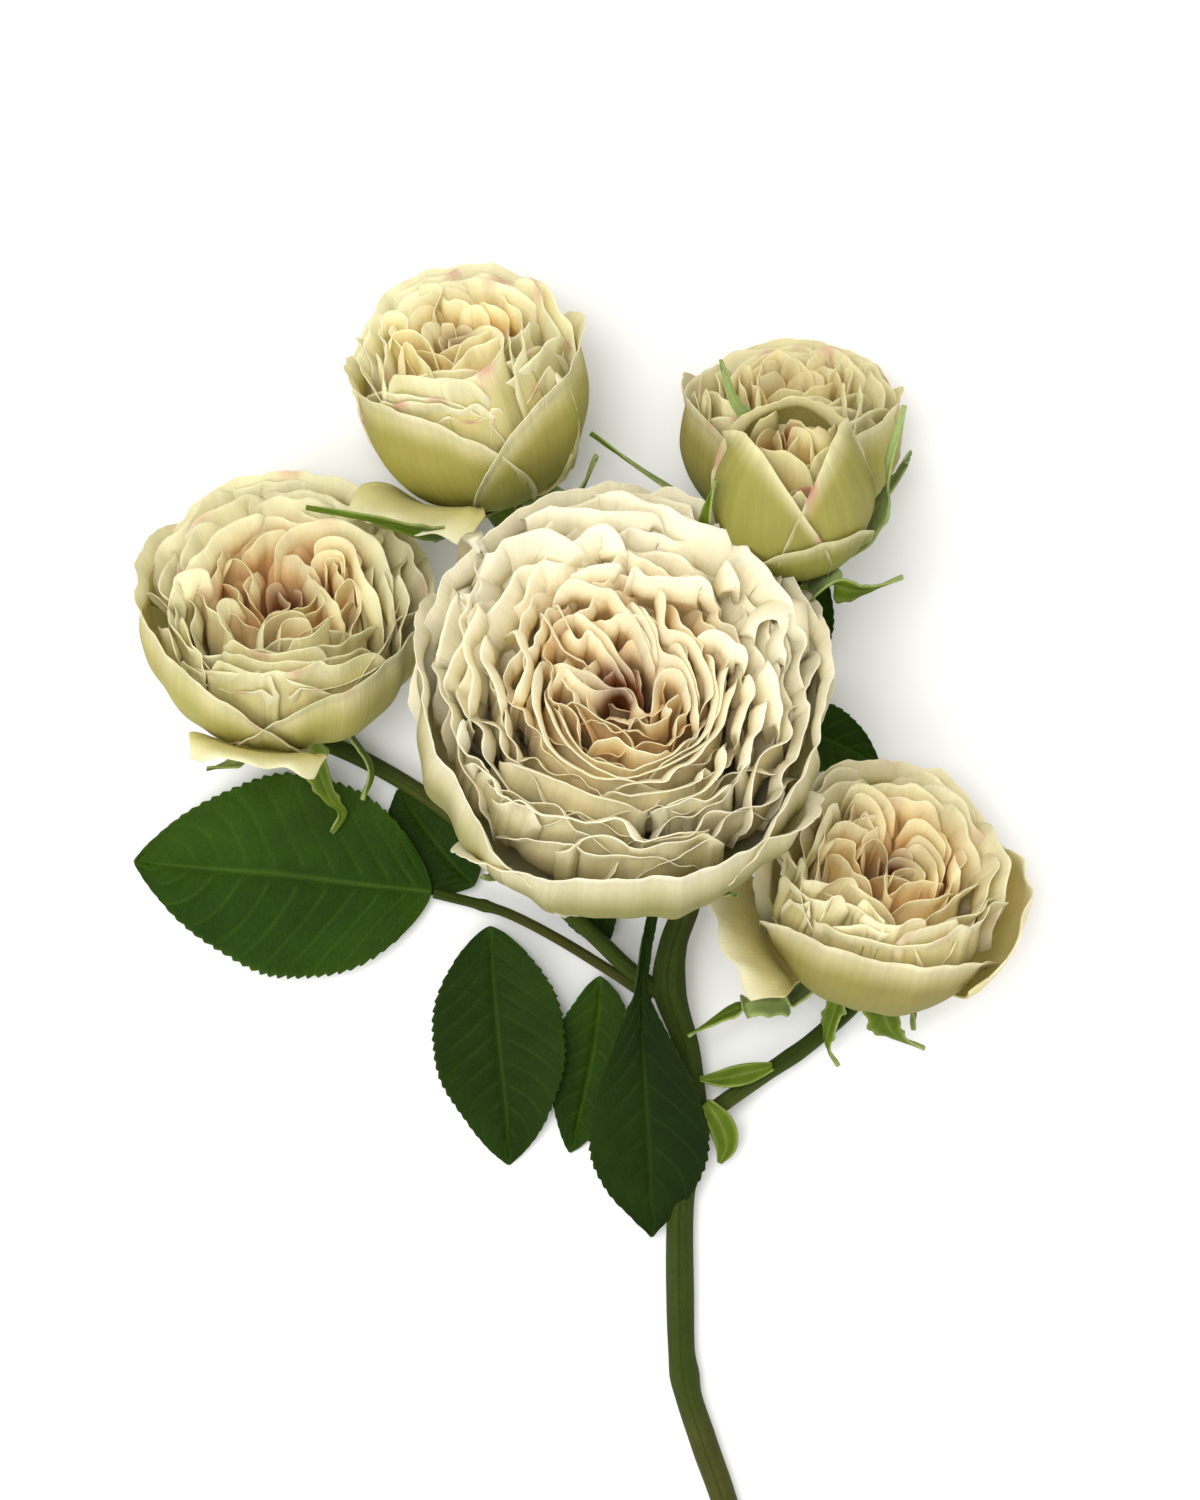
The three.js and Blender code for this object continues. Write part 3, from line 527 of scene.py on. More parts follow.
# Rims of the petals that show, in layout points: (curl, lowered by, points)
INNER_RIMS = {
    "center_bloom": """
0.7|0|565,617 568,612 575,612 583,614 590,620 598,626 606,634 613,643 618,654 624,664 630,672 636,682 638,692
0.6|0|565,617 569,625 573,633 577,640 583,638 586,632 590,630 594,636 600,640 604,648 610,657 616,664 621,672 628,680 633,690
0.8|0|541,602 544,615 550,628 556,640 562,650 570,656 580,661 590,666 598,669
0.6|0|553,598 558,608 564,620 570,632 576,643
0.9|0|553,612 555,598 561,588 570,580 582,580 592,584 600,588 610,588 618,594 626,606 634,618 641,628 647,640 651,652 653,664 654,676
0.9|0|547,655 553,658 560,661 568,664 578,668 588,670 594,674 601,680 608,686 616,688 624,688 630,691 635,697 638,705 641,708 646,706 650,712 652,716
1.1|0|560,661 553,657 547,655 541,660 537,668 534,678 532,690 532,702 534,714 538,726 543,736 549,746 557,755 567,763 578,770 590,776 605,780 620,781 640,781 655,780 666,779 672,774
1.0|0|551,672 547,680 545,688 546,698 549,710 553,722 558,732 565,742 573,752 582,760 592,767 604,772 618,776 632,777 645,774 655,770 668,766 680,761 692,754 703,746 711,737 716,727 720,715 722,700
0.6|0.5|548,687 551,695 555,701 563,703 570,708 576,716 577,724 578,732 581,738 586,744
0.8|0|550,690 556,702 560,712 562,722 566,732 571,740 577,748 585,755 595,760 606,762 615,765 625,768 632,770 645,765 655,762 668,757 680,750 690,739 697,735 699,728 700,718 700,710
0.8|0.5|560,700 570,701 580,704 590,711 600,717 610,720 618,725 624,732 632,740 645,742
0.5|0|587,745 593,741 600,739 608,738 616,736 621,739 627,745 635,749 645,752 655,754 663,752 668,748 675,744 680,741
0.8|0|548,686 556,676 562,671 568,669 572,675 580,681 588,686 595,690 602,689 612,688 622,688 628,691 633,697 636,703 640,708
0.5|0.5|562,671 575,669 588,670 598,677 606,684 614,688
0.5|0|628,727 633,720 636,714 640,720 645,724 652,724 660,720 668,716 673,710 667,707 668,703 675,698 682,692 676,690 670,693
0.7|0|652,716 652,706 654,694 657,680 662,671 668,667 675,667 681,670 686,678 688,688 690,698 690,708 689,712 682,714 678,716 676,724 675,735 672,740
0.8|0|620,600 628,610 636,622 643,632 648,642 651,652 654,662 656,670 655,678
0.8|0|624,596 633,602 641,612 648,624 653,635 656,648 658,660 658,670
0.9|0|628,594 640,600 650,614 656,628 659,642 664,652 675,656 683,664 690,674 695,686 698,700 699,712 700,722 699,732 696,737
1.0|0|645,580 655,582 662,590 666,600 667,612 666,620 668,628 676,630 685,633 692,638 698,648 704,660 709,672 713,684 715,694 710,700 703,706 700,714 701,724
0.7|0|667,636 670,642 676,641 681,645 687,656 692,668 696,680 699,694 700,706
0.9|0|700,640 706,648 712,658 716,670 718,685 719,697 716,710 713,722 708,732 700,740 690,748 680,755 668,762 655,768 645,772 636,774
0.9|0|731,655 727,668 724,682 722,698 719,712 714,726 708,737 700,745
1.2|0|738,662 736,678 735,690 731,700 728,712 725,724 719,733 711,742 702,752 690,762 678,768 672,776 667,782 655,783 640,784 620,786 608,787 598,786 590,783
0.8|0|470,590 475,600 472,615 465,630 462,645 465,660 470,672 468,685 466,700 470,715 478,725
1.0|0|505,625 515,632 520,645 525,660 522,675 515,690 510,700
1.0|0|490,625 480,650 482,665 490,678 495,690 500,705 508,720
1.0|0|745,665 755,690 750,705 745,720 740,735 732,740
1.0|0|500,750 515,765 530,770 545,775 560,782 575,790 590,795 610,800 630,805 645,803 655,800
1.0|0|720,769 712,767 706,766 704,775 703,780 695,784 685,788 675,790 660,792 645,794 630,795 615,792 600,789 590,785
1.0|0|728,732 725,745 727,752 725,763 721,772 716,780 708,789 700,794 690,797 680,801 672,806 660,807 652,799
""",
    "left_bloom": """
0.9|0|205,662 213,663 225,668 240,673 255,678 270,682 282,686
1.0|0|250,662 255,670 262,676 275,672 290,675 300,672 312,668 322,663 330,668 345,668 355,664 365,658 380,658 392,655 402,647
0.8|0|220,640 228,655 240,655 250,660 270,665 290,663 310,663 320,660 335,665
0.8|0|222,632 235,640 250,650 265,655 285,655 300,650 320,645 335,650
0.8|0|172,662 180,672 192,678 200,682
1.0|0|178,610 182,630 190,645 197,655 205,665
1.1|0|246,603 240,600 232,597 222,598 218,605 218,612 222,625 230,632 240,640
0.9|0|225,560 235,558 243,562 250,572 252,580 246,585
0.8|0|298,581 305,579 315,580 322,588 330,597 340,605 346,612
0.8|0|275,575 280,590 285,600 290,605 282,612 272,615 265,622 263,635 268,638
0.6|0|262,637 265,625 272,618 282,613 292,610 303,612 312,616
0.5|0.5|280,630 283,622 290,617 300,616 308,618 315,622
0.8|0|285,640 300,638 310,635 320,628 326,622 330,615 325,611
1.0|0|275,575 273,560 275,545 283,535 295,527 310,522 330,520 350,522 365,530 378,540 385,555 390,570 393,590 395,610
0.9|0|313,570 313,550 316,543 325,538 338,537 350,542 357,552 360,565 366,578 373,590 380,603 384,615 386,620
0.6|0|312,570 313,560 320,552 332,549 343,552 345,560 343,572
0.4|0|325,578 328,570 326,560 332,557 340,560 342,568
0.8|0|335,598 340,588 345,580 350,577 355,582 357,592
0.6|0.5|305,560 308,572 315,583 322,592 332,600
1.0|0|395,565 403,580 410,595 413,610 410,630 400,645
0.8|0|380,565 390,585 395,600 398,620
""",
    "upper_left_bloom": """
0.5|0|437,325 445,322 453,322 456,330 455,338
0.8|0|443,342 455,338 465,335 475,330 485,325 493,325 500,330 503,338 505,345 500,352 492,362 485,372 478,378 465,382 450,380 438,378 430,368 425,360
0.8|0|505,323 510,335 512,345 508,355
0.9|0|520,322 525,335 527,348 522,360 515,372 510,378
0.7|0|412,290 422,284 435,283 441,290 438,300 435,312 437,322
0.7|0|441,290 447,300 455,298 465,302 470,310 465,318
0.6|0|378,325 385,312 400,310 408,320 400,328
0.7|0|382,335 395,332 410,330 420,335 430,345 435,352
0.7|0|375,350 378,365 382,378
0.6|0|400,350 405,342 412,345 418,355 425,365 435,378
0.9|0|380,380 392,377 410,376 425,378 435,380 450,383 465,384 478,382 490,376
""",
    "back_bloom": """
0.8|0|757,400 757,385 760,370 765,358 775,350 785,352 795,360 800,372 803,385
0.8|0|727,377 735,372 745,365 757,372
0.7|0|780,360 790,358 800,362 808,370 818,378
0.7|0|805,365 812,358 822,350 835,352
0.7|0|828,378 832,370 838,365 845,360
0.9|0|840,378 845,388 848,400 850,412 845,425
0.9|0|700,385 705,400 708,415
""",
    "bud": """
0.8|0|780,420 790,418 800,420 805,428 815,430 820,420
0.7|0|812,405 820,402 830,405 838,415 835,425 825,430
0.8|0|785,430 795,427 805,430 812,440 808,455
""",
    "right_bloom": """
1.0|0|812,845 818,830 825,815 832,805 840,803 848,806
1.0|0|845,795 852,787 862,784 875,788 885,795 892,805 897,815 898,825
0.9|0|850,798 860,793 870,797 878,805 884,815 887,828 885,840
0.7|0.5|858,822 862,812 867,809 872,818 878,828 882,838
0.7|0|828,825 845,820 855,823 862,828 870,832 872,840
0.6|0|832,838 845,838 855,842 858,850
0.9|0|858,848 868,843 878,840 885,848 888,860 886,872 885,880 892,885 900,887
0.8|0|887,865 893,860 903,858 913,860 920,865 925,872 925,880
0.5|0|890,877 900,870 912,868 920,872
0.9|0|900,850 910,845 920,843 928,850 935,862 938,875 940,885
0.9|0|905,838 918,836 930,842 940,852 945,865 943,878
1.0|0|900,825 912,818 925,820 935,828 943,840 948,855
0.9|0|803,845 800,860 797,875 800,882 815,882 828,885 838,880 850,878 860,880 868,888
""",
}
OUTER_RIMS = {
    "center_bloom": """
1.3|0|449,508 460,503 480,500 500,498 520,490 540,480 550,473 560,470 570,470 578,480 580,492
1.3|0|580,482 600,484 620,488 640,496 655,500 668,503 690,515 710,522 730,528 742,530 750,545 753,552 768,562 778,575 790,590 797,605 803,622 812,640 815,645
1.0|0|500,505 520,510 540,503 560,505 580,505 600,507 640,510 660,515 668,530
1.2|0|560,545 575,540 590,528 605,525 618,532 625,545 632,560
1.0|0|470,545 490,550 500,538 520,530 545,528 560,535 575,542 590,550 605,552
1.0|0|565,580 580,572 590,566 605,562 620,562 632,566
1.2|0|620,590 628,575 634,565 640,570 648,578 660,577 680,576 700,575 710,582 715,595 728,598
1.2|0|690,640 700,635 712,630 725,632 735,640 745,645 748,655 745,665 738,672
0.9|0|740,590 736,575 730,562 722,552
1.3|0|440,540 437,550 425,560 418,568 417,580 416,595 415,608 412,620 405,635 401,650 402,670 400,690 402,710 405,730 407,745 412,752 420,770 427,785 435,792
1.0|0|420,580 430,577 440,582 450,592 457,598
1.1|0|468,712 460,720 455,735 455,745 460,755 475,762 480,770 498,773
1.2|0|460,755 470,765 490,780 495,795 505,800 515,808 530,812 545,820
1.3|0|490,790 500,800 520,803 535,815 550,820 570,822 585,826 600,825 612,822 620,820 628,830 635,842 645,845 660,842 680,838 695,832 710,822 720,815
1.2|0|555,845 575,850 585,842 600,838 615,842 630,852 640,860 655,858 670,855 685,850 700,845 715,838 725,835 733,842
1.0|0|650,800 660,808 675,806 690,800 705,805 715,800 725,790 733,780 737,770
1.1|0|765,650 772,665 778,680 780,695 785,710 783,725 778,735
1.1|0|770,690 765,710 763,730 755,740 752,755 750,765 740,770 730,772
1.0|0|795,605 790,625 785,640 790,655 785,670
1.0|0|755,640 760,625 775,620 785,625
""",
    "left_bloom": """
1.2|0|155,612 158,622 163,640 167,655 170,670 173,680 183,686 192,692 200,697 212,701 222,705 232,702 240,701 248,702 256,697 262,692 272,690 285,687
1.9|0|288,688 300,694 320,696 340,696 355,692 370,684 385,674 400,658
1.9|0|325,730 345,722 365,708 385,693 398,682
1.2|0|330,745 345,742 355,735 362,728 375,731 390,728 400,712
1.1|0|180,565 195,555 205,548 215,535 228,525 245,515 262,512 278,508
1.2|0|165,600 170,585 175,575 190,570 205,570 215,580
""",
    "upper_left_bloom": """
1.1|0|365,395 372,402 382,407 392,408 400,405 412,405 425,408 437,408 450,413 462,414 470,410 478,406 490,402 500,400
0.9|0|392,425 400,432 405,437 415,436 422,440
1.2|0|418,450 425,440 435,430 447,423 455,428 465,429 478,428 490,424 500,432 505,440 520,440 535,440 545,436
1.0|0|488,418 495,415 503,414 508,420 512,428 517,433
1.1|0|533,430 532,418 535,408 540,400 545,385 550,375 558,362 562,358
1.0|0|560,360 565,375 570,395 575,415 582,435 585,450 588,460
""",
    "back_bloom": """
1.0|0|860,380 865,395 862,410 858,425 855,435
1.0|0|860,440 875,435 890,432
1.0|0|690,385 692,410 695,440
""",
    "bud": """
0.9|0|748,447 755,460 762,475 772,488 780,498 783,510 785,515
0.9|0|752,442 760,447 773,450 785,450 797,458 805,465 810,475 817,485 820,490
0.7|0|785,515 787,503 795,495 800,491 807,500 812,510
1.0|0|787,535 795,532 805,525 820,513 835,520 850,528 865,535
1.0|0|803,462 810,460 818,455 828,447 838,443 845,445 850,435 862,445
0.9|0|725,425 740,422 760,418 775,412 785,405 795,405
""",
    "right_bloom": """
1.1|0|955,850 958,862 962,875
1.1|0|778,865 782,880 790,890 800,898 812,902 822,905 832,898 845,896 858,897
1.0|0|775,895 782,905 795,908 805,903 815,905
1.3|0|817,905 820,915 823,928 830,935 845,940 860,942 875,945 890,950 905,953 920,950 935,947 950,938 965,928 978,915 985,908
1.1|0|862,905 868,918 878,928 888,930 900,928 910,922 925,920 938,920
1.0|0|898,932 910,935 925,932 940,928 955,922 968,915
1.0|0|858,895 870,905 880,918 890,928
1.3|0|745,905 755,918 765,930 775,938 785,945 800,952 812,960 818,965
1.3|0|760,965 775,963 790,962 800,965 812,968 828,970 840,975 855,985 870,990 885,990
""",
}
# Outermost petals, one piece each: (middle direction, half width, rim height share, how far the tip falls outwards in mm)
GUARDS = {
    "center_bloom": [(285, 66, 0.90, 0), (205, 62, 0.93, 0), (350, 60, 0.92, 0), (130, 62, 0.90, 0), (58, 62, 0.88, 0)],
    "left_bloom": [(262, 26, 0.66, 17), (200, 86, 0.88, 0), (330, 84, 0.86, 0), (85, 80, 0.92, 0)],
    "upper_left_bloom": [(228, 34, 0.52, 22), (335, 84, 0.78, 0), (205, 88, 0.85, 0), (95, 80, 0.93, 0)],
    "back_bloom": [(190, 78, 0.90, 0), (340, 76, 0.86, 0), (80, 80, 0.93, 0)],
    "bud": [(285, 56, 0.5, 0), (206, 88, 0.95, 0), (336, 88, 0.92, 0), (90, 82, 0.95, 0)],
    "right_bloom": [(206, 34, 0.6, 20), (2, 46, 0.82, 7), (275, 80, 0.80, 0), (110, 84, 0.93, 0)],
}
# eye (given for the centre, else the default in make_tints) is a dark brown painted as shade into each bloom's deepest
# centre
TINTS = {
    # the centre's exterior tint (150, 146, 86) is darker than the other blooms': real green of its petals' outsides
    # plus painted shade for the shaded bottom band of its guard petals
    "center_bloom": make_tints((251, 246, 222), (252, 243, 204), (254, 228, 172), (160, 162, 80), (150, 146, 86), eye=(160, 94, 46), pink=0.1),
    "left_bloom": make_tints((242, 238, 202), (246, 237, 184), (250, 212, 150), (166, 168, 80), (190, 182, 104), pink=0.55),
    "upper_left_bloom": make_tints((250, 246, 212), (249, 240, 180), (250, 224, 154), (158, 162, 66), (180, 170, 88), pink=0.8),
    "back_bloom": make_tints((240, 234, 194), (230, 219, 154), (236, 206, 128), (148, 150, 58), (176, 168, 90), pink=0.7),
    "bud": make_tints((236, 230, 184), (220, 210, 142), (230, 196, 118), (140, 144, 52), (168, 162, 84), pink=1.0),
    "right_bloom": make_tints((248, 242, 208), (249, 237, 178), (251, 214, 144), (148, 150, 62), (160, 148, 80), pink=0.5),
}
RINGS = {
    "center_bloom": [(0.1, 3, 0.2), (0.2, 3, 0.5), (0.3, 4, 0.1), (0.4, 4, 0.3), (0.49, 5, 0.4), (0.57, 5, 0.1), (0.65, 6, 0.3), (0.73, 6, 0.5), (0.8, 7, 0.2), (0.87, 7, 0.6), (0.94, 7, 0.0)],
    "left_bloom": [(0.12, 3, 0.1), (0.25, 3, 0.5), (0.38, 4, 0.3), (0.5, 5, 0.4), (0.61, 5, 0.0), (0.72, 6, 0.3), (0.82, 6, 0.1), (0.92, 6, 0.5)],
    "upper_left_bloom": [(0.14, 3, 0.5), (0.28, 3, 0.3), (0.42, 4, 0.4), (0.56, 4, 0.1), (0.7, 5, 0.5), (0.82, 5, 0.2), (0.93, 5, 0.4)],
    "back_bloom": [(0.14, 3, 0.5), (0.28, 3, 0.3), (0.42, 4, 0.4), (0.56, 4, 0.1), (0.7, 5, 0.5), (0.82, 5, 0.2), (0.93, 5, 0.4)],
    "bud": [(0.12, 2, 0.1), (0.3, 3, 0.5), (0.5, 3, 0.3), (0.68, 4, 0.1), (0.85, 4, 0.5)],
    "right_bloom": [(0.14, 3, 0.5), (0.28, 3, 0.3), (0.42, 4, 0.4), (0.55, 5, 0.1), (0.68, 5, 0.5), (0.8, 6, 0.2), (0.92, 6, 0.4)],
}
LOWER = {"center_bloom": 2.8, "left_bloom": 2.4, "upper_left_bloom": 1.8, "back_bloom": 1.2, "bud": 1.0, "right_bloom": 2.0}


def bloom(name, seed):
    bl, tints = BL[name], TINTS[name]
    rng = np.random.default_rng(seed)
    inner, middle = Piece("v_" + name + "_inner_petals"), Piece("v_" + name + "_middle_petals")
    one = inner if name == "bud" else None
    for target, table in ((inner, INNER_RIMS), (one or middle, OUTER_RIMS)):
        for line in table[name].strip().splitlines():
            c, low, text = line.split("|")
            rim = traced(bl, pts(text))
            if rim is None:
                continue
            x, y, h = rim
            deep = 17 if target is inner else 21
            petal(target, bl, x, y, h - float(low), tints, depth=deep, curl=float(c), seed=int(rng.integers(1 << 30)), wave=0.3, nt=10)
    for i, (rho, n, turn) in enumerate(RINGS[name]):
        for k in range(n):
            phi = 360 * (k + turn) / n + rng.uniform(-14, 14)
            half = 360 / n * rng.uniform(0.5, 0.68)
            low = LOWER[name] * (0.6 + 0.4 * float(smooth(0.3, 0.6, rho))) * (1 - 0.8 * float(smooth(0.78, 0.9, rho)))
            top = float(np.interp(rho, *bl.dome)) - (low + rng.uniform(-0.6, 0.9)) / bl.H
            a = arc(bl, phi, min(half, 84), rho * rng.uniform(0.98, 1.02) * 1.0, top, low=max(0.15, top - 0.35), rng=rng, wob=0.05, cap=0.935)
            # keep the ring inside the bloom's own outline at that height
            t = inner if (rho < 0.45 or name == "bud") else middle
            petal(t, bl, a[0], a[1], a[2], tints, depth=15 if rho < 0.6 else 22, curl=rng.uniform(0.8, 1.15), seed=int(rng.integers(1 << 30)), wave=0.9, nt=10, taper=0)
    inner.build(INNER)
    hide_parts(name + "_inner_petals")
    if middle.v:
        middle.build(PETAL)
        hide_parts(name + "_middle_petals")
    for i, (phi, half, top, flare) in enumerate(GUARDS[name]):
        p = Piece(f"v_{name}_guard_petal_{i + 1}")
        n = len(GUARDS[name])
        if flare:
            flared(p, bl, phi, half, top, flare, tints, seed + i)
        else:
            x, y, h = arc(bl, phi, half, 1.0, top, low=0.14, rng=rng, wob=0.02, n=120)
            petal(p, bl, x, y, h, tints, depth=60, curl=0.6, curl_len=2.4, seed=seed * 7 + i, wave=0.4, ruffle=0.22, nt=30, guard=True, taper=0, lay=0.02 * (n - 1 - i) - 0.035, th=0.36)
        o = p.build(PETAL)
        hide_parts(f"{name}_guard_petal_{i + 1}")


def flared(piece, bl, phi, half, top, flare, tints, seed):
    """A guard petal that has opened right out, its tip falling away from the bloom."""
    rng = np.random.default_rng(seed)
    nu, nv = 60, 44
    q, s = np.linspace(-1, 1, nu)[:, None], np.linspace(0, 1, nv)[None, :]
    round_ = 1 - 0.22 * q**2 * s + 0.02 * np.sin(5 * q + seed) * s
    t = (0.05 + (top - 0.05) * s) * np.where(s > 0.5, 1 + (round_ - 1) * (s - 0.5) * 2, 1)
    w = math.radians(half) * (0.34 + 0.66 * np.sin(np.pi * np.minimum(s * 0.62 + 0.02, 0.5))) * np.where(s > 0.75, 1 - 0.9 * (s - 0.75), 1)
    a = math.radians(phi) + q * w
    h = bl.H * t
    r = bl.R * bl.S(h, a) * 1.0
    away = flare * np.maximum(s - 0.42, 0) ** 2
    r, h = r + away, h - 0.75 * away
    ed = np.maximum(smooth(0.75, 1, s), smooth(0.7, 1, np.abs(q)))
    r = r + ed * (0.5 * np.sin(9 * q + 3 + seed) + 0.6 * np.sin(7 * s + seed))
    h = h + ed * 0.5 * np.sin(11 * q + 1)
    G = bl.world(r * np.cos(a), r * np.sin(a), h + 0 * r)
    G = G[::-1]
    below = (1 - s) * bl.H * 0.7 + 0 * q
    co, ci = tints(bl, r[::-1] / bl.R, h[::-1] / bl.H, 0 * below, below, False, rng)
    uv = np.stack([q[::-1] * 14 + 0 * s, below], -1)
    shell(piece, G, 0.42 * (0.5 + 0.5 * smooth(0, 1, below)), co, ci, uv, np.clip(below / 10, 0, 1))


for i, name in enumerate(BL):
    bloom(name, 100 + 17 * i)

# ------------------------------------------------------------------ stem and stalks
G_STEM, G_STEM2, G_RED, G_PITH = lin((56, 70, 20)), lin((38, 50, 12)), lin((120, 92, 58)), lin((196, 200, 150))


def stem_tint(seed, k=1.0):
    rng = np.random.default_rng(seed)
    a, b = rng.uniform(0, 6.28, 2)

    def tint(l, ang):
        m = 0.5 + 0.5 * np.sin(ang + a + 0.02 * l)
        streak = 0.5 + 0.25 * np.sin(5 * ang + b + 0.05 * l) + 0.25 * np.sin(11 * ang + 0.11 * l)
        c = G_STEM * (1 - 0.45 * m[..., None]) + G_STEM2 * 0.45 * m[..., None]
        c = c * (0.9 + 0.2 * streak[..., None])
        red = np.clip(np.sin(0.05 * l + a) * 0.6 - 0.2, 0, 1)[..., None] * 0.35
        return (c * (1 - red) + G_RED * red) * k

    return tint


def along(ptsmm, where):
    """Length along a curve at which it comes nearest to a point."""
    c = spline(ptsmm, 300)
    s = np.concatenate([[0], np.cumsum(np.linalg.norm(np.diff(c, axis=0), axis=1))])
    return s[np.linalg.norm((c - where)[:, :2], axis=1).argmin()]


def swollen(r, nodes, ends=(0.0, 0.0), total=100.0, seed=0):
    """Radius along a stalk: swellings (position, extra, spread) and flared ends."""
    rng = np.random.default_rng(seed)
    p = rng.uniform(0, 6.28, 4)

    def radius(l, a):
        v = r * (1 + 0.025 * np.sin(0.21 * l + p[0]) + 0.02 * np.sin(0.063 * l + p[1])) + 0 * a
        for at, extra, spread in nodes:
            v = v + extra * np.exp(-(((l - at) / spread) ** 2)) * (1 + 0.25 * np.cos(a + p[2]))
        v = v + ends[0] * np.exp(-l / 2.2) + ends[1] * np.exp(-(total - l) / 2.6)
        return v * (1 + 0.018 * np.sin(7 * a + p[3] + 0.01 * l))

    return radius


STEM = [P(*p) for p in [(776, 1800, 2.8), (768, 1700, 2.8), (750, 1590, 2.9), (724, 1500, 3), (703, 1440, 3), (684, 1375, 3.2), (680, 1290, 3.4), (681, 1200, 3.8), (692, 1125, 4.6), (687, 1050, 5.8), (669, 990, 7.2), (673, 945, 8.4), (686, 905, 9.8), (684, 868, 11)]]
stem = Piece("v_main_stem")
NODES = [(along(STEM, P(682, 1375, 3)), 0.34, 2.6), (along(STEM, P(690, 1130, 4)), 0.62, 5.0), (along(STEM, P(668, 985, 6)), 0.6, 5.5), (along(STEM, P(686, 880, 9)), 0.5, 4.0), (along(STEM, P(745, 1575, 3)), 0.22, 2.2)]


def cut_face(q):
    return G_PITH * (0.75 if q > 0.9 else 1.0) * (0.8 if q < 0.4 else 1.0) * (np.array([0.85, 0.95, 0.7]) if 0.5 < q < 0.9 else 1.0)


tube(stem, STEM, swollen(2.42, NODES, seed=3), stem_tint(5, 0.92), ns=420, sides=36, cap=cut_face)
o = stem.build(STEMM)
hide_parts("main_stem")

HIP = 9.2
STALKS = {
    "center_stalk": ("center_bloom", [(684, 862, 11.3), (672, 826, 14), (648, 796, 20)], 1.75),
    "left_stalk": ("left_bloom", [(666, 996, 7.6), (628, 968, 7), (588, 930, 6.4), (520, 872, 5.6), (440, 806, 4.6), (368, 762, 3.6), (312, 738, 3.2)], 1.5),
    "upper_left_stalk": ("upper_left_bloom", [(678, 878, 9.5), (650, 800, 7.5), (606, 700, 5.4), (560, 610, 4.2), (528, 560, 3.6)], 1.45),
    "back_stalk": ("back_bloom", [(690, 874, 9.5), (706, 800, 7.5), (730, 720, 5.6), (760, 630, 3.4), (782, 580, 2.2)], 1.45),
    "bud_stalk": ("bud", [(731, 722, 7.6), (758, 698, 12), (780, 668, 18), (792, 636, 25)], 1.35),
    "right_stalk": ("right_bloom", [(692, 1128, 5.0), (722, 1104, 6), (765, 1074, 6), (806, 1046, 5.2)], 1.5),
}
for i, (name, (of, line, r)) in enumerate(STALKS.items()):
    b = BL[of]
    line = [P(*p) for p in line] + [b.B - b.a * (HIP + 3.2), b.B - b.a * (HIP - 0.6)]
    c = spline(line, 300)
    total = np.linalg.norm(np.diff(c, axis=0), axis=1).sum()
    p = Piece("v_" + name)
    tube(p, line, swollen(r, [(total * 0.55, 0.12, 2.5)], (0.35, 0.4), total, seed=20 + i), stem_tint(30 + i, 0.95), ns=160, sides=22)
    o = p.build(STEMM)
    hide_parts(name)

# ------------------------------------------------------------------ hips and sepals
G_SEP, G_SEP2, G_EDGE, G_UNDER = lin((84, 106, 14)), lin((56, 80, 6)), lin((160, 172, 92)), lin((168, 184, 120))
SEPALS = {
    "center_bloom": [(20, 0.48, [], 2.6), (92, 0.48, [], 2.6), (164, 0.48, [], 2.6), (236, 0.45, [], 2.6), (308, 0.45, [], 2.6)],
    "left_bloom": [(222, 0.08, [(240, 757, 18), (207, 769, 21)], 2.6), (290, 0.07, [(326, 790, 12), (342, 812, 9), (332, 833, 7)], 2.2), (335, 0.12, [(368, 762, 12), (364, 800, 10)], 1.8), (55, 0.4, [], 2.6), (130, 0.4, [], 2.6)],
    "upper_left_bloom": [(262, 0.1, [(440, 533, 36), (375, 519, 47), (306, 507, 50)], 2.7), (330, 0.1, [(572, 498, 20), (597, 455, 24)], 2.4), (50, 0.4, [], 2.6), (100, 0.4, [], 2.6), (150, 0.4, [], 2.6)],
    "back_bloom": [(205, 0.06, [(735, 535, 17), (690, 502, 23), (640, 468, 27), (591, 433, 30)], 1.6), (10, 0.4, [(905, 462, 24)], 2.2), (60, 0.4, [], 2.6), (90, 0.4, [], 2.6), (120, 0.4, [], 2.6)],
    "bud": [(55, 0.5, [], 2.6), (312, 0.08, [(830, 584, 49), (862, 590, 49), (903, 577, 50)], 3.2), (5, 0.4, [(888, 462, 56), (906, 406, 58)], 2.6), (200, 0.75, [], 2.6), (112, 0.6, [(732, 396, 46), (721, 360, 49)], 2.0)],
    "right_bloom": [(205, 0.05, [(788, 1002, 12), (745, 1006, 13), (688, 1036, 12)], 3.4), (240, 0.03, [(828, 1040, 7), (838, 1066, 5)], 1.9), (300, 0.05, [(892, 1030, 13), (924, 1050, 12)], 3.4), (345, 0.1, [(912, 1008, 11), (914, 1030, 10)], 1.4), (110, 0.35, [], 2.6)],
}


def sepal_tint(seed):
    rng = np.random.default_rng(seed)
    a = rng.uniform(0, 6.28)

    def tint(s, x, W, l):
        m = (0.5 + 0.5 * np.sin(1.1 * l + 3 * x + a))[..., None] * 0.35
        c = G_SEP * (1 - m) + G_SEP2 * m
        e = (smooth(0.72, 1.0, np.abs(x)) * 0.55)[..., None]
        c = c * (1 - e) + G_EDGE * e
        mid = (np.exp(-((x / 0.14) ** 2)) * 0.35)[..., None]
        c = c * (1 - mid) + G_EDGE * 0.8 * mid
        return c, np.abs(x)

    return tint


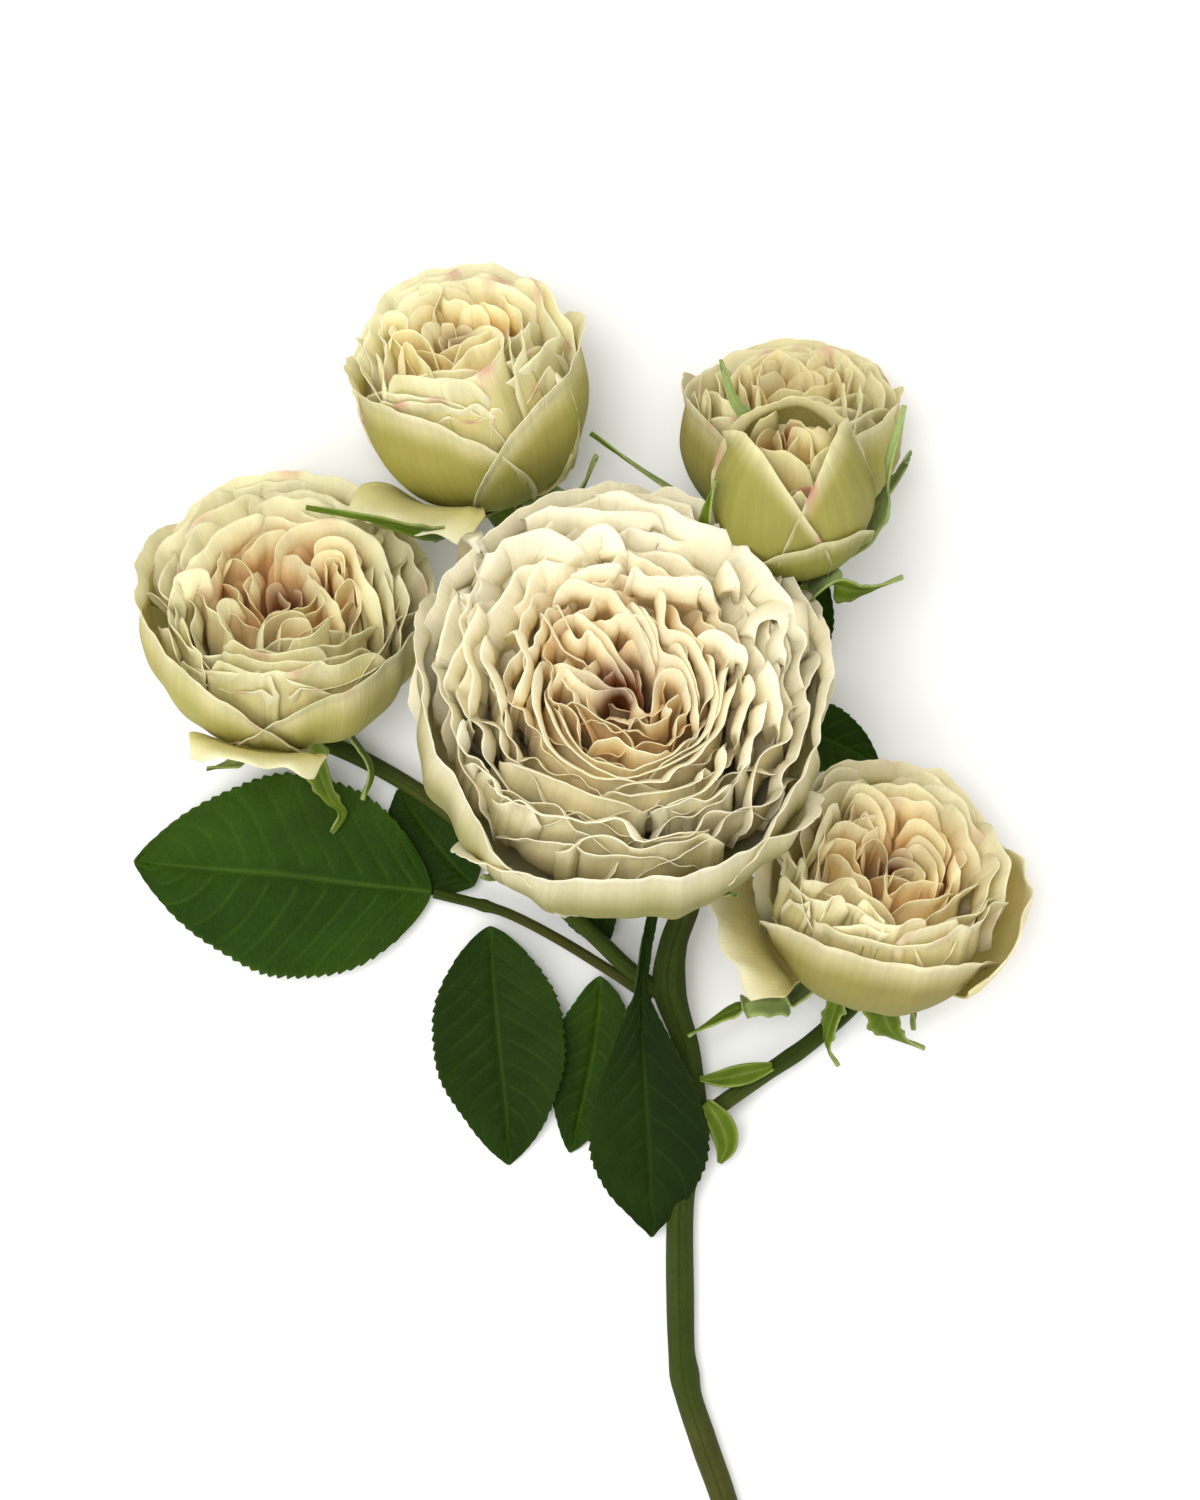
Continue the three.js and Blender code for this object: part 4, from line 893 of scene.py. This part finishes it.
def turn(piece, bl, pairs, tint, seg=44):
    """A turned body in a bloom's frame from (radius, height) pairs on the axis at both ends."""
    c = spline(pairs, 46)
    r, h = np.maximum(c[:, 0], 0.02), c[:, 1]
    a = np.arange(seg) * 2 * math.pi / seg
    R = r[:, None] * (1 + 0.02 * np.sin(5 * a)[None, :])
    X, Y, Hh = R * np.cos(a), R * np.sin(a), h[:, None] + 0 * R
    G = bl.B + X[..., None] * bl.u + Y[..., None] * bl.v + Hh[..., None] * bl.a
    n = len(r)
    i = np.arange(n * seg).reshape(n, seg)
    j = np.roll(i, -1, axis=1)
    f = np.stack([i[:-1], j[:-1], j[1:], i[1:]], -1).reshape(-1, 4)
    # close both ends with a fan of quads
    caps = []
    for row, flip in ((0, True), (n - 1, False)):
        k = i[row]
        for q in range(0, seg // 2 - 1):
            quad = [k[q], k[q + 1], k[seg - 2 - q], k[seg - 1 - q]]
            caps.append(quad[::-1] if flip else quad)
    f = np.vstack([f, np.array(caps)])
    piece.add(G.reshape(-1, 3), f, tint(Hh, a[None, :] + 0 * R).reshape(-1, 3), np.stack([a[None, :] * 4 + 0 * R, Hh], -1).reshape(-1, 2), np.zeros(n * seg))


for i, (name, bl) in enumerate(BL.items()):
    p = Piece("v_" + name + "_calyx")
    k = bl.hip

    def hip_tint(h, a):
        m = smooth(-9, -1, h)[..., None]
        s = (0.5 + 0.5 * np.sin(9 * a + 0.3 * h))[..., None]
        return (G_STEM * (1 - m) + G_SEP * 1.15 * m) * (0.9 + 0.16 * s)

    turn(p, bl, [(0.2, -HIP), (1.75, -HIP), (k * 0.78, -HIP * 0.74), (k, -HIP * 0.42), (k * 0.96, -HIP * 0.2), (k * 0.9, -1.4), (k * 0.5, -0.5), (0.2, -0.4)], hip_tint)
    for j, (phi, t, end, w) in enumerate(SEPALS[name]):
        a = math.radians(phi)
        line = []
        ts = [0.03, 0.3, 0.65, 1.0]
        rows = ts[:1] if (end and t < 0.15) else ts
        line.append(bl.B + (bl.u * math.cos(a) + bl.v * math.sin(a)) * k * 0.55 - bl.a * (1.9 + 0.1 * k))
        for f in rows:
            h = max(f * t * bl.H, 0.3)
            r = bl.R * float(bl.S(np.array(h), np.array(a))) + 1.4
            line.append(bl.B + (bl.u * math.cos(a) + bl.v * math.sin(a) * bl.kv) * r + bl.a * h)
        line += [P(*q) for q in end]
        normal = bl.u * math.cos(a) + bl.v * math.sin(a) - 0.4 * bl.a
        width = lambda s, w=w: w * 1.12 * (0.62 + 0.38 * min(s / 0.28, 1)) * max(1 - max(s - 0.28, 0) / 0.72, 0) ** 0.8 + 0.05
        fold = lambda s, x, w=w, j=j: 0.5 * x**2 * (1 - s) - 0.25 * np.exp(-((x / 0.2) ** 2)) + 0.35 * np.sin(9 * s + 2 * x + j) * s
        lobes = lambda s, side, j=j: 0.5 * np.exp(-(((s - 0.5 - 0.06 * side) / 0.035) ** 2)) + 0.45 * np.exp(-(((s - 0.68 + 0.05 * side) / 0.03) ** 2)) + 0.03 * np.sin(60 * s + j)
        under = lambda s, x, c: c * 0.45 + G_UNDER * 0.55
        ribbon(p, line, width, normal, sepal_tint(60 + 7 * i + j), under, th=0.42, ns=64, nw=11, fold=fold, edge=lobes)
    o = p.build(SEPALM)
    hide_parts(name + "_calyx")

# ------------------------------------------------------------------ leaves
L_TOP, L_TOP2, L_VEIN, L_UNDER = lin((44, 70, 8)), lin((24, 48, 2)), lin((70, 98, 26)), lin((118, 142, 92))
LEAVES = {
    # name: points, half width, shape exponents (low, tip), tint strength, teeth
    "left_leaflet_end": ([(432, 892, 3.6), (360, 884, 4.6), (280, 874, 4.4), (205, 868, 2.6), (135, 862, 0.9)], 18.4, 0.85, 1.0, 30),
    "left_leaflet_down": ([(490, 926, 4.6), (494, 985, 5.6), (500, 1050, 5.4), (506, 1110, 3.6), (509, 1164, 1.4)], 12.0, 0.9, 0.62, 26),
    "left_leaflet_up": ([(474, 886, 3.2), (448, 858, 1.4), (422, 824, 0.9), (398, 790, 0.9)], 9.5, 0.9, 0.7, 20),
    "left_leaflet_low": ([(600, 976, 4.4), (598, 1020, 3.6), (588, 1080, 2.2), (570, 1152, 0.9)], 7.4, 0.9, 0.8, 20),
    "left_leaflet_under": ([(606, 946, 4), (590, 908, 3), (574, 870, 2), (560, 826, 1)], 5.6, 0.9, 0.7, 16),
    "front_leaf": ([(655, 905, 14.2), (646, 950, 14), (641, 1005, 12.6), (645, 1080, 10.4), (650, 1160, 7.4), (652, 1236, 4.2)], 11.2, None, 0.42, 34),
    "right_leaf_upper": ([(760, 690, 1.2), (784, 655, 1.0), (806, 612, 1.0), (824, 574, 1.6)], 6.6, 0.9, 0.8, 16),
    "right_leaf_lower": ([(760, 716, 4.2), (796, 728, 4.6), (834, 742, 3.4), (878, 762, 1.4)], 6.2, 0.9, 0.8, 16),
}


def leaf_tint(n_veins, strength, seed):
    rng = np.random.default_rng(seed)
    off = rng.uniform(0, 1)

    def tint(s, x, W, l):
        ax = np.abs(x)
        q = s - 0.2 * ax ** 1.25 + 0.012 * np.sin(7 * s + 4 * x)
        ph = (q * n_veins + off + 0.25 * (x > 0)) % 1.0
        side = np.exp(-(((ph - 0.5) / 0.055) ** 2)) * smooth(0.05, 0.15, ax) * (1 - smooth(0.8, 1.0, ax)) * (1 - smooth(0.86, 0.97, s))
        mid = np.exp(-((W / 0.42) ** 2))
        # small veins between the side veins
        net = 0.5 + 0.5 * np.sin(W * 2.1 + 6 * np.sin(l * 0.9)) * np.sin(l * 2.3 + 4 * np.sin(W * 0.8))
        m = (0.5 + 0.3 * np.sin(3.1 * s + 2 * x + off * 6) + 0.2 * net)[..., None]
        c = L_TOP * m + L_TOP2 * (1 - m)
        v = np.clip(0.55 * side + 0.9 * mid, 0, 1)[..., None] * 0.5
        c = c * (1 - v) + L_VEIN * v
        e = smooth(0.94, 1.0, ax)[..., None] * 0.35
        c = c * (1 - e) + L_VEIN * e
        return c * strength, side

    return tint


def leaf(name, line, w, low, strength, teeth, seed, shape=None):
    p = Piece("v_" + name)
    rng = np.random.default_rng(seed)
    n_veins = 11 if w > 8 else 8
    off = rng.uniform(0, 6)
    if shape is None:
        def shape(s):
            return w * math.sin(math.pi * min(max(s, 0), 1) ** low) ** (1 / 1.3 if s > 0.5 else 0.8)
    tint = leaf_tint(n_veins, strength, seed)
    voff = np.random.default_rng(seed).uniform(0, 1)

    def fold(s, x):
        ax = np.abs(x)
        q = s - 0.2 * ax ** 1.25
        ph = (q * n_veins + voff + 0.25 * (x > 0)) % 1.0
        quilt = 0.22 * (1 - np.exp(-(((ph - 0.5) / 0.16) ** 2))) * smooth(0.04, 0.2, ax) * (1 - 0.5 * ax) * (w / 12)
        trough = -0.3 * np.exp(-((x * w / 0.8) ** 2))
        wave = 0.045 * w * ax**2 * np.sin(8.5 * s + off + 1.4 * np.sign(x)) + 0.02 * w * ax**3 * np.sin(21 * s + off)
        ends = smooth(0, 0.12, s) * (1 - 0.5 * smooth(0.85, 1, s))
        return (0.07 * w * ax + quilt + trough + wave) * ends

    def edge(s, side):
        ph = (s * teeth + 0.3 * side) % 1.0
        tooth = (ph - 0.55 * (ph > 0.86) * (ph - 0.86) / 0.14)
        return (0.05 * (tooth - 0.5)) * smooth(0.06, 0.15, s) * (1 - smooth(0.97, 1, s)) + 0.012 * np.sin(s * 19 + off)

    under = lambda s, x, c: c * 0.35 + L_UNDER * 0.65 * strength
    ribbon(p, [P(*q) for q in line], shape, (0, 0, 1), tint, under, th=0.36, ns=170, nw=45, fold=fold, edge=edge)
    o = p.build(LEAFM)
    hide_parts(name)


FRONT = spline([(0, 1.0), (0.24, 1.1), (0.31, 2.6), (0.42, 5.6), (0.57, 9.2), (0.72, 10.9), (0.85, 8.0), (0.94, 3.6), (1, 0.1)], 200)
for i, (name, (line, w, low, strength, teeth)) in enumerate(LEAVES.items()):
    shape = None
    if low is None:
        def shape(s):
            return float(np.interp(s, FRONT[:, 0], FRONT[:, 1]))
    leaf(name, line, w, low, strength, teeth, 300 + i, shape)

RACHIS = [P(*q) for q in [(652, 996, 6.9), (640, 990, 6.6), (612, 972, 5.8), (560, 940, 5.2), (512, 915, 4.8), (478, 904, 4.4), (434, 893, 3.9)]]
p = Piece("v_left_leaf_stalk")
tube(p, RACHIS, swollen(0.95, [(along(RACHIS, P(484, 906, 4)), 0.25, 1.2)], (0.5, 0.0), 100, seed=9), stem_tint(44, 0.9), ns=140, sides=18)
o = p.build(STEMM)
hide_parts("left_leaf_stalk")
for i, (name, line, w) in enumerate([("right_stalk_bract", [(772, 1066, 8.2), (745, 1074, 9.2), (722, 1078, 9), (700, 1079, 8.6)], 1.9), ("right_leaf_base", [(706, 1102, 8.8), (722, 1126, 7.2), (726, 1146, 5.4), (720, 1162, 3.6)], 2.4)]):
    p = Piece("v_" + name)
    ribbon(p, [P(*q) for q in line], lambda s, w=w: w * math.sin(math.pi * (0.12 + 0.82 * s)), (0, 0, 1), sepal_tint(80 + i), th=0.4, ns=60, nw=13, fold=lambda s, x: 0.5 * np.abs(x) + 0.2 * np.sin(8 * s + 3 * x))
    o = p.build(SEPALM)
    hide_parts(name)

# ------------------------------------------------------------------ surface, light and camera
floor_me = bpy.data.meshes.new("floor")
floor_me.from_pydata([(-3, -3, 0), (3, -3, 0), (3, 3, 0), (-3, 3, 0)], [], [(0, 1, 2, 3)])
floor = bpy.data.objects.new("floor", floor_me)
bpy.context.scene.collection.objects.link(floor)
fm = bpy.data.materials.new("floor")
fm.use_nodes = True
fb = fm.node_tree.nodes["Principled BSDF"]
fb.inputs["Base Color"].default_value = (0.9, 0.9, 0.9, 1)
fb.inputs["Roughness"].default_value = 0.9
fb.inputs["Specular IOR Level"].default_value = 0.1
floor_me.materials.append(fm)

world = bpy.data.worlds.new("studio")
bpy.context.scene.world = world
world.use_nodes = True
world.node_tree.nodes["Background"].inputs[0].default_value = (1, 0.99, 0.97, 1)
world.node_tree.nodes["Background"].inputs[1].default_value = 1.0


def area(name, where, to, size, power, colour=(1, 1, 1)):
    l = bpy.data.lights.new(name, "AREA")
    l.shape, l.size, l.energy, l.color = "DISK", size, power, colour
    o = bpy.data.objects.new(name, l)
    bpy.context.scene.collection.objects.link(o)
    o.location = where
    d = np.array(to, float) - np.array(where, float)
    import mathutils
    o.rotation_euler = mathutils.Vector(d).to_track_quat("-Z", "Y").to_euler()
    return o


area("key", (-0.16, 0.2, 1.12), (0.0, 0.05, 0.03), 0.5, 6.2)
area("fill", (-0.45, -0.35, 0.85), (0.0, 0.05, 0.03), 0.7, 3.2)

cam_data = bpy.data.cameras.new("camera")
cam_data.sensor_fit = "VERTICAL"
cam_data.sensor_height = 24.0
cam_data.lens = 24 * 1000 / 262.5
cam_data.clip_start, cam_data.clip_end = 0.05, 20
cam = bpy.data.objects.new("camera", cam_data)
bpy.context.scene.collection.objects.link(cam)
cam.location = (0.0043916, 0.0529556, 1.0348)
bpy.context.scene.camera = cam
bpy.context.scene.view_settings.view_transform = "Standard"
